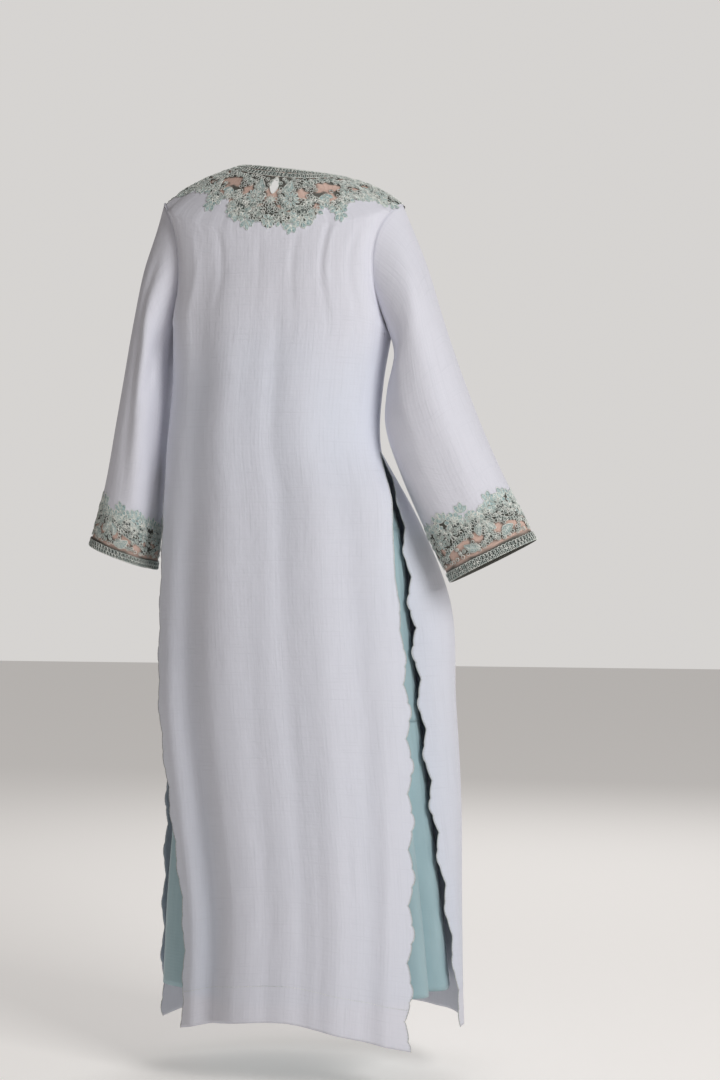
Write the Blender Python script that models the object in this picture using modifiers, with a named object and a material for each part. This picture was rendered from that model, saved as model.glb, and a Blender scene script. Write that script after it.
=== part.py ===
"""Jacket dress: a long linen jacket over a tiered slip dress, both hollow, as they hang on a figure.

Metres, +Z up. The origin is between the neck points of the shoulders. The garment faces -Y, so its back is
towards +Y and the wearer's left is towards +X. Every cloth piece is an open surface that is given its wall
inwards, so the surfaces below are the outer faces of the cloth.
"""
import math
from collections import namedtuple

import bmesh
import bpy
import numpy as np
from mathutils import Vector

# Cloth
LINEN_WALL = 0.0016
LACE_WALL = 0.0012
SLIP_WALL = 0.0012
SEAM_GAP = 0.0009
SIDE_SEAM_GAP = 0.0014
YOKE_GAP = 0.0018
EDGING_GAP = 0.0012

# Levels are depths below the shoulder, measured downwards
YOKE_DOWN = 0.100
FRONT_YOKE_DOWN = 0.170
UNDERARM_DOWN = 0.262
SLIT_TOP_DOWN = 0.470
BACK_HEM_DOWN = 1.415
FRONT_HEM_DOWN = 1.430

# Shoulders: they sit a little to the left of the origin and tip down to the right
SHOULDER_X = 0.009
SHOULDER_TILT = 0.035
YOKE_ANGLE = 40.0

# Neck
NECK_X = -0.006
NECK_Z = 0.011
NECK_TILT = 0.137
NECK_HALF_WIDTH = 0.086
NECK_BACK_DEPTH = 0.072
NECK_FRONT_DEPTH = 0.090
NECK_FRONT_DROP = 0.110
NECKBAND_WIDTH = 0.019
YOKE_CROWN = 0.008
KEYHOLE_WIDTH = 0.015
KEYHOLE_HEIGHT = 0.031
KEYHOLE_REACH = 0.060

# Scalloped edging of the slits: a long wave that carries three small lobes, with a row of points on each
# cusp and crest. It starts below the slit's top
EDGING_WIDTH = 0.022
WAVE_PITCH = 0.086
WAVE_DEPTH = 0.010
LOBES = 3
LOBE_DEPTH = 0.0045
LOBE_MIDDLE = 0.6
EDGING_START = 0.5
WRAP_DEPTH = 0.130

# The centre front, where the two fronts meet, drifts a little to the right on its way down
OPENING_TOP_X = 0.006
OPENING_HEM_X = -0.022

# Grid counts
YOKE_STEPS = 3
ARMHOLE_STEPS = 6
BACK_COLUMNS = 16
BODY_ROWS = 12
SLEEVE_ROWS = 8
CUFF_ROWS = 3
YOKE_ROWS = 4
UPPER_ROWS = 2
WELD = 1e-6

# Slip dress
STRAP_WIDTH = 0.012
STRAP_STEPS = 14
Tier = namedtuple("Tier", "name top hem columns rows")
SLIP_TIERS = [
    Tier("slip_bodice", 0.250, 0.605, 26, 4),
    Tier("slip_middle_tier", 0.605, 0.930, 32, 4),
    Tier("slip_lower_tier", 0.930, 1.385, 40, 5),
]

BackRow = namedtuple("BackRow", "down y_mid x_left y_left x_right y_right drop_left drop_right flatness")
BACK_TABLE = [
    BackRow(0.262, 0.125, 0.199, 0.000, -0.181, 0.000, 0.007, -0.007, 1.00),
    BackRow(0.350, 0.124, 0.200, 0.007, -0.167, 0.007, 0.005, -0.005, 1.00),
    BackRow(0.470, 0.125, 0.210, 0.018, -0.166, 0.018, 0.003, -0.003, 1.05),
    BackRow(0.550, 0.127, 0.213, 0.030, -0.192, 0.056, 0.000, 0.000, 1.20),
    BackRow(0.655, 0.132, 0.215, 0.038, -0.200, 0.070, 0.000, 0.000, 1.35),
    BackRow(0.760, 0.138, 0.218, 0.040, -0.212, 0.073, -0.002, -0.002, 1.45),
    BackRow(0.900, 0.147, 0.212, 0.060, -0.226, 0.080, -0.008, -0.008, 1.55),
    BackRow(1.070, 0.157, 0.185, 0.080, -0.233, 0.090, -0.017, -0.018, 1.60),
    BackRow(1.240, 0.166, 0.159, 0.095, -0.235, 0.100, -0.029, -0.031, 1.60),
    BackRow(1.415, 0.175, 0.160, 0.100, -0.232, 0.120, -0.031, -0.049, 1.60),
]

FrontRow = namedtuple("FrontRow", "down x_mid half_width y_side depth wrap_left wrap_right drop_left drop_right")
FRONT_TABLE = [
    FrontRow(0.470, 0.022, 0.188, 0.018, 0.148, 0.0, 0.0, 0.003, -0.003),
    FrontRow(0.600, -0.003, 0.223, -0.045, 0.092, 18.0, 26.0, 0.000, 0.000),
    FrontRow(0.720, -0.022, 0.247, -0.065, 0.075, 14.0, 38.0, 0.000, 0.000),
    FrontRow(0.900, -0.024, 0.256, -0.066, 0.089, 8.0, 35.0, -0.002, -0.001),
    FrontRow(1.070, -0.027, 0.263, -0.062, 0.105, 0.0, 31.0, -0.008, -0.003),
    FrontRow(1.240, -0.027, 0.267, -0.050, 0.129, -2.0, 21.0, -0.018, -0.008),
    FrontRow(1.430, -0.030, 0.273, -0.020, 0.175, -10.0, 8.0, -0.032, -0.016),
]

# A fold runs down a panel: its place across (0 left edge, 1 right edge), half width, height (a trough is
# negative), where it starts and is full, and how far it leans across on its way to the hem
Fold = namedtuple("Fold", "at width height start full lean")
BACK_FOLDS = [
    Fold(0.19, 0.060, -0.0040, 0.10, 0.30, -0.03),
    Fold(0.15, 0.055, -0.0090, 0.42, 0.80, -0.02),
    Fold(0.34, 0.080, 0.0060, 0.10, 0.35, -0.02),
    Fold(0.56, 0.045, -0.0040, 0.10, 0.40, 0.01),
    Fold(0.70, 0.065, 0.0042, 0.12, 0.60, 0.02),
    Fold(0.84, 0.050, -0.0050, 0.30, 0.90, 0.00),
    Fold(0.06, 0.040, 0.0050, 0.55, 1.00, 0.00),
]
FRONT_FOLDS = [
    Fold(0.22, 0.060, -0.010, 0.20, 0.60, 0.00),
    Fold(0.36, 0.050, 0.008, 0.20, 0.60, 0.02),
    Fold(0.66, 0.060, -0.010, 0.25, 0.70, 0.00),
    Fold(0.82, 0.050, 0.008, 0.50, 1.00, 0.00),
]

# A sleeve ring: its outer and inner point seen from the back, and its middle and half depth along Y
Ring = namedtuple("Ring", "along x_outer z_outer x_inner z_inner y_mid half_depth")
SLEEVE_LEFT = [
    Ring(0.16, 0.244, -0.140, 0.206, -0.300, 0.000, 0.074),
    Ring(0.32, 0.265, -0.243, 0.212, -0.363, 0.000, 0.082),
    Ring(0.50, 0.284, -0.345, 0.217, -0.440, -0.002, 0.086),
    Ring(0.68, 0.307, -0.450, 0.225, -0.520, -0.006, 0.082),
    Ring(0.84, 0.333, -0.548, 0.233, -0.596, -0.010, 0.072),
    Ring(1.00, 0.359, -0.630, 0.241, -0.674, -0.012, 0.062),
]
SLEEVE_RIGHT = [
    Ring(0.16, -0.240, -0.150, -0.189, -0.312, 0.000, 0.074),
    Ring(0.32, -0.272, -0.252, -0.179, -0.372, 0.002, 0.080),
    Ring(0.50, -0.307, -0.352, -0.176, -0.436, 0.006, 0.080),
    Ring(0.68, -0.348, -0.455, -0.201, -0.512, 0.008, 0.072),
    Ring(0.84, -0.389, -0.542, -0.242, -0.606, 0.008, 0.058),
    Ring(1.00, -0.431, -0.622, -0.286, -0.694, 0.010, 0.046),
]
CUFF_START = 0.84

SlipRow = namedtuple("SlipRow", "down x_mid half_width y_mid depth_back depth_front")
SLIP_TABLE = [
    SlipRow(0.250, 0.012, 0.150, 0.000, 0.100, 0.108),
    SlipRow(0.350, 0.012, 0.152, 0.000, 0.098, 0.110),
    SlipRow(0.470, 0.012, 0.160, -0.002, 0.098, 0.110),
    SlipRow(0.605, 0.000, 0.194, -0.005, 0.100, 0.112),
    SlipRow(0.760, -0.008, 0.203, -0.007, 0.108, 0.114),
    SlipRow(0.930, -0.012, 0.215, -0.008, 0.118, 0.124),
    SlipRow(1.070, -0.016, 0.226, -0.009, 0.128, 0.134),
    SlipRow(1.240, -0.019, 0.243, -0.010, 0.132, 0.148),
    SlipRow(1.385, -0.023, 0.254, -0.010, 0.140, 0.162),
]

# Folds of the slip's skirt go round it by angle: 0 is the left side, 90 the back, 180 the right side
SkirtFold = namedtuple("SkirtFold", "angle width height start full")
SKIRT_FOLDS = [
    SkirtFold(8.0, 9.0, -0.012, 0.62, 1.20),
    SkirtFold(40.0, 14.0, -0.010, 0.62, 1.20),
    SkirtFold(68.0, 12.0, -0.010, 0.62, 1.20),
    SkirtFold(112.0, 13.0, -0.010, 0.62, 1.20),
    SkirtFold(147.0, 10.0, 0.015, 0.66, 1.25),
    SkirtFold(164.0, 7.0, -0.028, 0.70, 1.30),
    SkirtFold(205.0, 12.0, 0.010, 0.62, 1.20),
    SkirtFold(232.0, 11.0, -0.011, 0.62, 1.20),
    SkirtFold(275.0, 14.0, -0.010, 0.62, 1.20),
    SkirtFold(318.0, 12.0, -0.011, 0.62, 1.20),
]

# A strap runs from the bodice's back over the shoulder, under the yoke, to the bodice's front
StrapPoint = namedtuple("StrapPoint", "along x y z")
STRAP_PATH = [
    StrapPoint(0.00, 0.085, 0.083, -0.2495),
    StrapPoint(0.25, 0.086, 0.080, -0.140),
    StrapPoint(0.42, 0.090, 0.052, -0.045),
    StrapPoint(0.52, 0.094, 0.005, -0.019),
    StrapPoint(0.62, 0.093, -0.045, -0.050),
    StrapPoint(0.78, 0.088, -0.082, -0.145),
    StrapPoint(1.00, 0.085, -0.091, -0.2495),
]

Finish = namedtuple("Finish", "color roughness")
FINISHES = {
    "linen": Finish((0.78, 0.83, 0.89), 0.85),
    "embroidered_net": Finish((0.66, 0.66, 0.62), 0.75),
    "embroidery": Finish((0.55, 0.72, 0.75), 0.70),
    "slip_cloth": Finish((0.36, 0.61, 0.66), 0.75),
}


def blend(rows, at):
    """The row that a smooth curve through a table has at a value of its first column."""
    table = np.array(rows, dtype=float)
    keys = table[:, 0]
    slopes = np.gradient(table, keys, axis=0)
    i = int(np.clip(np.searchsorted(keys, at) - 1, 0, len(keys) - 2))
    span = keys[i + 1] - keys[i]
    f = min(max((at - keys[i]) / span, 0.0), 1.0)
    values = ((1 + 2 * f) * (1 - f) ** 2 * table[i] + f * f * (3 - 2 * f) * table[i + 1]
              + span * f * (1 - f) ** 2 * slopes[i] - span * f * f * (1 - f) * slopes[i + 1])
    return type(rows[0])(*values)


def ease(value, start, full):
    """0 before start, 1 after full, smooth between."""
    f = min(max((value - start) / (full - start), 0.0), 1.0)
    return f * f * (3 - 2 * f)


def mix(a, b, f):
    return a + (b - a) * f


def armhole(side, angle):
    """A point of the armhole seam: angle 0 at the shoulder tip, 90 at the back, 180 under the arm."""
    a = math.radians(angle)
    x = 0.185 + 0.010 * math.cos(a) + 0.015 * math.cos(2 * a)
    y = 0.060 * math.sin(a)
    z = -0.144 + 0.109 * math.cos(a) - 0.009 * math.cos(2 * a)
    return Vector((SHOULDER_X + side * x, y, z + SHOULDER_TILT * side * x))


def armhole_angle(down, top_down):
    """The armhole angle that a body row meets between the yoke and the underarm."""
    return mix(YOKE_ANGLE, 180.0, (down - top_down) / (UNDERARM_DOWN - top_down))


def fold_height(folds, across, down):
    """How far the cloth stands out (or in) at a place on a panel."""
    height = 0.0
    for fold in folds:
        centre = fold.at + fold.lean * (down - fold.start)
        height += fold.height * math.exp(-((across - centre) / fold.width) ** 2) * ease(down, fold.start, fold.full)
    return height


def back_edges(down):
    """The left and right edge of the back panel, and its middle depth and flatness, at a level."""
    if down >= UNDERARM_DOWN:
        row = blend(BACK_TABLE, down)
        left = Vector((row.x_left, row.y_left, row.drop_left - down))
        right = Vector((row.x_right, row.y_right, row.drop_right - down))
        return left, right, row.y_mid, row.flatness
    angle = armhole_angle(down, YOKE_DOWN)
    y_mid = mix(0.106, BACK_TABLE[0].y_mid, ease(down, YOKE_DOWN, UNDERARM_DOWN))
    return armhole(1, angle), armhole(-1, angle), y_mid, 1.0


def back_point(s, down):
    """A point of the jacket's back: s runs from the left edge (0) to the right edge (1)."""
    left, right, y_mid, flatness = back_edges(down)
    phi = math.pi * (s + 0.35 * math.sin(2 * math.pi * s) / (2 * math.pi))
    across = (1 - math.cos(phi)) / 2
    edge = left.lerp(right, across)
    out = max(math.sin(phi), 0.0) ** flatness
    # The hem swings down sooner on the right than on the left
    power = 2.2 if across < 0.5 else mix(2.2, 1.2, ease(down, 0.9, BACK_HEM_DOWN))
    z = mix(-down, (left if across < 0.5 else right).z, abs(math.cos(phi)) ** power)
    bump = fold_height(BACK_FOLDS, across, down)
    return Vector((edge.x + 0.4 * bump * math.cos(phi), mix(edge.y, y_mid, out) + bump, z))


def front_section(down):
    """The jacket's front at a level: x_mid, half_width, y_side, depth, wraps in degrees and edge heights."""
    if down > SLIT_TOP_DOWN:
        row = blend(FRONT_TABLE, down)
        return (row.x_mid, row.half_width, row.y_side, row.depth, row.wrap_left, row.wrap_right,
                row.drop_left - down, row.drop_right - down)
    if down >= UNDERARM_DOWN:
        left, right, _, _ = back_edges(down)
    else:
        angle = -armhole_angle(down, YOKE_DOWN)
        left, right = armhole(1, angle), armhole(-1, angle)
    y_front = mix(-0.104, -0.134, ease(down, YOKE_DOWN, 0.24)) + 0.004 * ease(down, 0.26, SLIT_TOP_DOWN)
    return ((left.x + right.x) / 2, (left.x - right.x) / 2, left.y, left.y - y_front, 0.0, 0.0, left.z, right.z)


def front_point(s, down):
    """A point of the jacket's front: s runs from the left edge (0) over the centre (0.5) to the right edge (1)."""
    x_mid, half_width, y_side, depth, wrap_left, wrap_right, z_left, z_right = front_section(down)
    opening_x = mix(OPENING_TOP_X, OPENING_HEM_X, ease(down, YOKE_DOWN, FRONT_HEM_DOWN))
    opening = math.acos((opening_x - x_mid) / half_width)
    even = 2 * s + 0.25 * math.sin(4 * math.pi * min(s, 1 - s)) / (2 * math.pi) * (1 if s < 0.5 else -1)
    if s < 0.5:
        phi = mix(-math.radians(wrap_left), opening, even)
    else:
        phi = mix(opening, math.pi + math.radians(wrap_right), even - 1)
    swing = math.sin(phi)
    y = y_side - swing * (depth if swing > 0 else WRAP_DEPTH)
    bump = fold_height(FRONT_FOLDS, s, down)
    # The top of the panels dips to the yoke's point at the centre front
    dip = (FRONT_YOKE_DOWN - YOKE_DOWN) * (1 - ease(down, YOKE_DOWN, 0.5)) * max(swing, 0.0) ** 3
    z = mix(-down, z_left if s < 0.5 else z_right, abs(math.cos(phi)) ** 2.2) - dip
    return Vector((x_mid + (half_width + 0.4 * bump) * math.cos(phi), y - bump, z))


def neckline(turn):
    """The top edge of the neckband: turn 0 at the left neck point, 90 at the centre back, -90 centre front."""
    b = math.radians(turn)
    x = NECK_X + NECK_HALF_WIDTH * math.cos(b)
    tilt = NECK_TILT * (x - NECK_X)
    if turn >= 0:
        return Vector((x, NECK_BACK_DEPTH * math.sin(b), NECK_Z + tilt - 0.005 * math.sin(b)))
    drop = NECK_FRONT_DROP * math.sin(-b) ** 1.6
    return Vector((x, NECK_FRONT_DEPTH * math.sin(b), NECK_Z + tilt - drop))


def yoke_rim(front):
    """The outer rim of one half of the yoke, from the left shoulder tip to the right one, and its turns."""
    sign = -1 if front else 1
    panel = front_point if front else back_point
    steps = [YOKE_ANGLE * i / YOKE_STEPS for i in range(YOKE_STEPS)]
    rim = [armhole(1, sign * angle) for angle in steps]
    rim += [panel(i / BACK_COLUMNS, YOKE_DOWN) for i in range(BACK_COLUMNS + 1)]
    rim += [armhole(-1, sign * angle) for angle in reversed(steps)]
    turns = [sign * 180.0 * i / (len(rim) - 1) for i in range(len(rim))]
    return rim, turns


def spoke_point(top, rim, distance):
    """A point of the yoke, a distance from its top edge towards its rim, on a slightly crowned line."""
    chord = rim - top
    f = distance / chord.length
    along = chord.normalized()
    up = Vector((0, 0, 1))
    normal = (up - along * up.dot(along)).normalized()
    return top + chord * f + normal * (4 * f * (1 - f) * YOKE_CROWN)


def sleeve_point(side, angle, along):
    """A point of a sleeve: angle as on the armhole, along 0 at the armhole and 1 at the cuff's hem."""
    rings = SLEEVE_LEFT if side > 0 else SLEEVE_RIGHT
    a = math.radians(angle)
    head = armhole(side, angle) + Vector((side * SEAM_GAP, 0, 0))
    path = [(0.0, *head)]
    for ring in rings:
        outer = Vector((ring.x_outer, ring.y_mid, ring.z_outer))
        inner = Vector((ring.x_inner, ring.y_mid, ring.z_inner))
        point = (outer + inner) / 2 + (outer - inner) / 2 * math.cos(a)
        path.append((ring.along, point.x, ring.y_mid + ring.half_depth * math.sin(a), point.z))
    PathPoint = namedtuple("PathPoint", "along x y z")
    point = blend([PathPoint(*p) for p in path], along)
    return Vector((point.x, point.y, point.z))


def slip_point(angle, down):
    """A point of the slip dress: angle 0 at the left side, 90 at the back, 180 at the right side."""
    row = blend(SLIP_TABLE, down)
    a = math.radians(angle)
    bump = 0.0
    for fold in SKIRT_FOLDS:
        apart = (angle - fold.angle + 180.0) % 360.0 - 180.0
        bump += fold.height * math.exp(-(apart / fold.width) ** 2) * ease(down, fold.start, fold.full)
    depth = row.depth_back if math.sin(a) > 0 else row.depth_front
    return Vector((row.x_mid + (row.half_width + bump) * math.cos(a), row.y_mid + (depth + bump) * math.sin(a), -down))


def finish_material(slot):
    """One plain material for each finish, shared by its pieces."""
    material = bpy.data.materials.get(slot)
    if material is None:
        material = bpy.data.materials.new(slot)
        material.use_nodes = True
        shader = material.node_tree.nodes["Principled BSDF"]
        shader.inputs["Base Color"].default_value = (*FINISHES[slot].color, 1.0)
        shader.inputs["Roughness"].default_value = FINISHES[slot].roughness
        shader.inputs["Metallic"].default_value = 0.0
    return material


def cloth(name, rows, slot, wall, flip):
    """A cloth piece: a grid bent through rows of points, with its wall grown inwards. A grid whose rows run
    against the clock is flipped, so that its faces point out, and one that closes on itself is welded."""
    count = len(rows[0])
    mesh = bmesh.new()
    bmesh.ops.create_grid(mesh, x_segments=count - 1, y_segments=len(rows) - 1, size=0.5)
    mesh.verts.ensure_lookup_table()
    for index, vert in enumerate(mesh.verts):
        vert.co = rows[index // count][index % count]
    bmesh.ops.remove_doubles(mesh, verts=mesh.verts, dist=WELD)
    if flip:
        bmesh.ops.reverse_faces(mesh, faces=mesh.faces)
    data = bpy.data.meshes.new(name)
    mesh.to_mesh(data)
    mesh.free()
    piece = bpy.data.objects.new(name, data)
    piece.data.materials.append(finish_material(slot))
    shell = piece.modifiers.new("wall", "SOLIDIFY")
    shell.thickness = wall
    shell.offset = -1.0
    shell.use_even_offset = False
    return piece


def body_levels(hem):
    """The rows of a body panel: through the armhole, down to the slits' top and on to the hem."""
    spans = [(YOKE_DOWN, UNDERARM_DOWN, ARMHOLE_STEPS), (UNDERARM_DOWN, SLIT_TOP_DOWN, UPPER_ROWS),
             (SLIT_TOP_DOWN, hem, BODY_ROWS - UPPER_ROWS)]
    return [mix(top, bottom, i / steps) for top, bottom, steps in spans for i in range(steps)] + [hem]


def edging_inset(down):
    """How far the linen ends inside a side edge: a seam's half gap, and below the slit's top the edging."""
    return SIDE_SEAM_GAP / 2 + EDGING_WIDTH * ease(down, SLIT_TOP_DOWN, SLIT_TOP_DOWN + 0.08)


def inset_place(panel, down, start, inset):
    """The place across a panel (0 to 1) that lies an inset's length inside its left or right edge."""
    step = 0.01 if start == 0 else -0.01
    place, last, walked = start, panel(start, down), 0.0
    while walked < inset:
        here = panel(place + step, down)
        length = (here - last).length
        if walked + length >= inset:
            return place + step * (inset - walked) / length
        place, last, walked = place + step, here, walked + length
    return place


def panel_rows(panel, hem, first, last, columns):
    """The rows of points of a body panel. first and last are the places across where it starts and ends."""
    rows = []
    for down in body_levels(hem):
        begin = inset_place(panel, down, 0, edging_inset(down)) if first == 0 else first
        end = inset_place(panel, down, 1, edging_inset(down)) if last == 1 else last
        rows.append([panel(mix(begin, end, i / columns), down) for i in range(columns + 1)])
    return rows


def build_panels():
    """The linen back and the two linen fronts, which meet edge to edge at the centre front."""
    half = BACK_COLUMNS // 2
    middle_gap = 0.001
    back = panel_rows(back_point, BACK_HEM_DOWN, 0, 1, BACK_COLUMNS)
    left = panel_rows(front_point, FRONT_HEM_DOWN, 0, 0.5 - middle_gap, half)
    right = panel_rows(front_point, FRONT_HEM_DOWN, 0.5 + middle_gap, 1, half)
    return [cloth("back_panel", back, "linen", LINEN_WALL, flip=True),
            cloth("front_panel_left", left, "linen", LINEN_WALL, flip=False),
            cloth("front_panel_right", right, "linen", LINEN_WALL, flip=False)]


def scallop(phase):
    """How far the edging stands out past the side edge. The phase counts waves, from crest to crest."""
    lobe = (LOBES * phase + 0.5) % 1.0
    arc = math.sqrt(max(1 - (2 * lobe - 1) ** 2, 0.0))
    return WAVE_DEPTH / 2 * math.cos(2 * math.pi * phase) + LOBE_DEPTH * (arc - LOBE_MIDDLE)


def build_edging(name, panel, hem, start, flip):
    """A scalloped strip along one edge of a slit, made on the straight runs between its panel's rows."""
    levels = [down for down in body_levels(hem) if down >= SLIT_TOP_DOWN]
    sides = []
    for down in levels:
        inner = panel(inset_place(panel, down, start, edging_inset(down)), down)
        sides.append((inner, panel(start, down)))
    count = round((hem - SLIT_TOP_DOWN) / WAVE_PITCH)
    steps = 2 * LOBES
    phases = [i / steps for i in range(round(EDGING_START * steps), count * steps + 1)]
    rows = []
    for phase in phases:
        down = mix(SLIT_TOP_DOWN, hem, phase / count)
        i = min(int((down - levels[0]) / (levels[1] - levels[0])), len(levels) - 2)
        f = (down - levels[i]) / (levels[i + 1] - levels[i])
        inner, edge = (sides[i][k].lerp(sides[i + 1][k], f) for k in range(2))
        out = (edge - inner).normalized()
        rows.append([edge + out * scallop(phase), inner + out * EDGING_GAP])
    return cloth(name, rows, "embroidery", LACE_WALL, flip=flip)


def build_edgings():
    return [build_edging("edging_back_left", back_point, BACK_HEM_DOWN, 0, True),
            build_edging("edging_back_right", back_point, BACK_HEM_DOWN, 1, False),
            build_edging("edging_front_left", front_point, FRONT_HEM_DOWN, 0, False),
            build_edging("edging_front_right", front_point, FRONT_HEM_DOWN, 1, True)]


def spokes(front):
    """The yoke's spokes on one half of the body: a point of the neckline and its point of the rim."""
    rim, turns = yoke_rim(front)
    return [(neckline(turn), outer) for turn, outer in zip(turns, rim)]


def build_neckband():
    """A flat band around the neck, open at the centre front."""
    back, front = spokes(False), spokes(True)
    middle = len(front) // 2
    ring = list(reversed(front[1:middle + 1])) + back + list(reversed(front[middle:-1]))
    rows = [[spoke_point(top, rim, reach) for top, rim in ring] for reach in (0.0, NECKBAND_WIDTH)]
    for row in rows:
        row[0].x += SEAM_GAP / 2
        row[-1].x -= SEAM_GAP / 2
    return cloth("neckband", rows, "embroidery", LACE_WALL, flip=True)


def yoke_rows(lines, y_shift):
    """The rows of a yoke piece, from the neckband to the body panels. Its shoulder ends move by y_shift."""
    rows = []
    for i in range(YOKE_ROWS + 1):
        row = []
        for top, rim in lines:
            reach = mix(NECKBAND_WIDTH + SEAM_GAP, (rim - top).length - YOKE_GAP, i / YOKE_ROWS)
            row.append(spoke_point(top, rim, reach))
        rows.append(row)
    for row in rows:
        for point in (row[0], row[-1]):
            if abs(point.y) < 0.005:
                point.y += y_shift
    return rows


def keyhole_cutter():
    """A teardrop prism at the centre back: a round top and a point below."""
    cutter = bmesh.new()
    bmesh.ops.create_circle(cutter, cap_ends=True, segments=12, radius=0.5)
    for vert in cutter.verts:
        if vert.co.y < 0:
            vert.co.x *= 1 + 1.2 * vert.co.y
        vert.co = Vector((vert.co.x * KEYHOLE_WIDTH, vert.co.y * KEYHOLE_HEIGHT, 0.0))
    prism = bmesh.ops.extrude_face_region(cutter, geom=cutter.faces[:])
    for item in prism["geom"]:
        if isinstance(item, bmesh.types.BMVert):
            item.co.z = KEYHOLE_REACH
    bmesh.ops.recalc_face_normals(cutter, faces=cutter.faces)
    data = bpy.data.meshes.new("keyhole_cutter")
    cutter.to_mesh(data)
    cutter.free()
    shape = bpy.data.objects.new("keyhole_cutter", data)
    shape.rotation_euler = (math.pi / 2, 0, 0)
    shape.location = (NECK_X + 0.0012, NECK_BACK_DEPTH + KEYHOLE_REACH, -0.0012 - NECKBAND_WIDTH - KEYHOLE_HEIGHT / 2)
    shape.hide_render = True
    shape.display_type = "WIRE"
    return shape


def build_yoke(cutter):
    back, front = spokes(False), spokes(True)
    middle = len(front) // 2
    front_left, front_right = front[:middle + 1], front[middle:]
    back_piece = cloth("yoke_back", yoke_rows(back, SEAM_GAP / 2), "embroidered_net", LACE_WALL, flip=True)
    keyhole = back_piece.modifiers.new("keyhole", "BOOLEAN")
    keyhole.operation = "DIFFERENCE"
    keyhole.object = cutter
    pieces = [back_piece]
    for name, lines, side in (("yoke_front_left", front_left, 1), ("yoke_front_right", front_right, -1)):
        rows = yoke_rows(lines, -SEAM_GAP / 2)
        for row in rows:
            row[-1 if side > 0 else 0].x += side * SEAM_GAP / 2
        pieces.append(cloth(name, rows, "embroidered_net", LACE_WALL, flip=False))
    return pieces


def build_sleeve(side):
    """A set-in sleeve and its deep cuff. Its columns meet the body's rows along the armhole."""
    word = "left" if side > 0 else "right"
    half = [YOKE_ANGLE * i / YOKE_STEPS for i in range(YOKE_STEPS)]
    half += [mix(YOKE_ANGLE, 180.0, i / ARMHOLE_STEPS) for i in range(ARMHOLE_STEPS)]
    angles = half + [180.0] + [360.0 - angle for angle in reversed(half)]
    cuff_gap = 0.001
    rows = [[sleeve_point(side, angle, mix(0, CUFF_START, i / SLEEVE_ROWS)) for angle in angles]
            for i in range(SLEEVE_ROWS + 1)]
    cuff = [[sleeve_point(side, angle, mix(CUFF_START + cuff_gap, 1, i / CUFF_ROWS)) for angle in angles]
            for i in range(CUFF_ROWS + 1)]
    return [cloth("sleeve_" + word, rows, "linen", LINEN_WALL, flip=side > 0),
            cloth("cuff_" + word, cuff, "embroidered_net", LACE_WALL, flip=side > 0)]


def build_slip():
    """The slip dress: a plain bodice, two gathered tiers below it and two shoulder straps."""
    pieces = []
    for tier in SLIP_TIERS:
        rows = [[slip_point(360.0 * k / tier.columns, mix(tier.top + SEAM_GAP, tier.hem, i / tier.rows))
                 for k in range(tier.columns + 1)] for i in range(tier.rows + 1)]
        pieces.append(cloth(tier.name, rows, "slip_cloth", SLIP_WALL, flip=True))
    for word, side in (("left", 1), ("right", -1)):
        rows = []
        for i in range(STRAP_STEPS + 1):
            point = blend(STRAP_PATH, i / STRAP_STEPS)
            x = SHOULDER_X + side * point.x
            z = point.z + SHOULDER_TILT * side * point.x * ease(point.z, -0.25, -0.10)
            rows.append([Vector((x + edge * STRAP_WIDTH / 2, point.y, z)) for edge in (1, -1)])
        pieces.append(cloth("slip_strap_" + word, rows, "slip_cloth", SLIP_WALL, flip=False))
    return pieces


def new_collection(name):
    collection = bpy.data.collections.new(name)
    bpy.context.scene.collection.children.link(collection)
    return collection


def main():
    for item in list(bpy.data.objects):
        bpy.data.objects.remove(item, do_unlink=True)
    garment = new_collection("jacket_dress")
    cutters = new_collection("cutters")
    cutter = keyhole_cutter()
    cutters.objects.link(cutter)
    pieces = [build_neckband()] + build_yoke(cutter) + build_panels() + build_edgings()
    pieces += build_sleeve(1) + build_sleeve(-1) + build_slip()
    for piece in pieces:
        garment.objects.link(piece)


main()
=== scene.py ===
"""The looks of the jacket dress: sheer slubby linen, embroidered net, and the tiered slip dress under it.

Metres, +Z up, in the frame of the CAD model. The garment faces -Y, its back is towards +Y and the wearer's
left is towards +X. Cloth surfaces follow the same sizes as the CAD solids, on finer grids and with the
smaller creases; embroidery is worked on top of them, in threads and raised satin stitch.
"""
import math
import random
from collections import namedtuple
from functools import lru_cache

import bmesh
import bpy
import numpy as np
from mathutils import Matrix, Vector


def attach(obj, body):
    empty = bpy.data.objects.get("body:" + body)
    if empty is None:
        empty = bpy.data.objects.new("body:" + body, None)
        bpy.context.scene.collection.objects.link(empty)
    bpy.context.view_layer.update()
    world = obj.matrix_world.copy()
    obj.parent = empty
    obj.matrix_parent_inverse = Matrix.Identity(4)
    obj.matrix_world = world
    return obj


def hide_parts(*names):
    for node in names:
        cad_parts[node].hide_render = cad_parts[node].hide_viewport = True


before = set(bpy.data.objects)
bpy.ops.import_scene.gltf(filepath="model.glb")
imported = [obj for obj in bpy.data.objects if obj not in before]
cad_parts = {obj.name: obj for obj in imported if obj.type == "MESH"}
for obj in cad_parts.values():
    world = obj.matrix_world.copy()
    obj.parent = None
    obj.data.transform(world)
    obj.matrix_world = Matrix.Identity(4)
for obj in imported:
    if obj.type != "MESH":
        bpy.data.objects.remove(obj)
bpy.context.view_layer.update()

# ---- Sizes that the CAD model has too ------------------------------------------------------------

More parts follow.
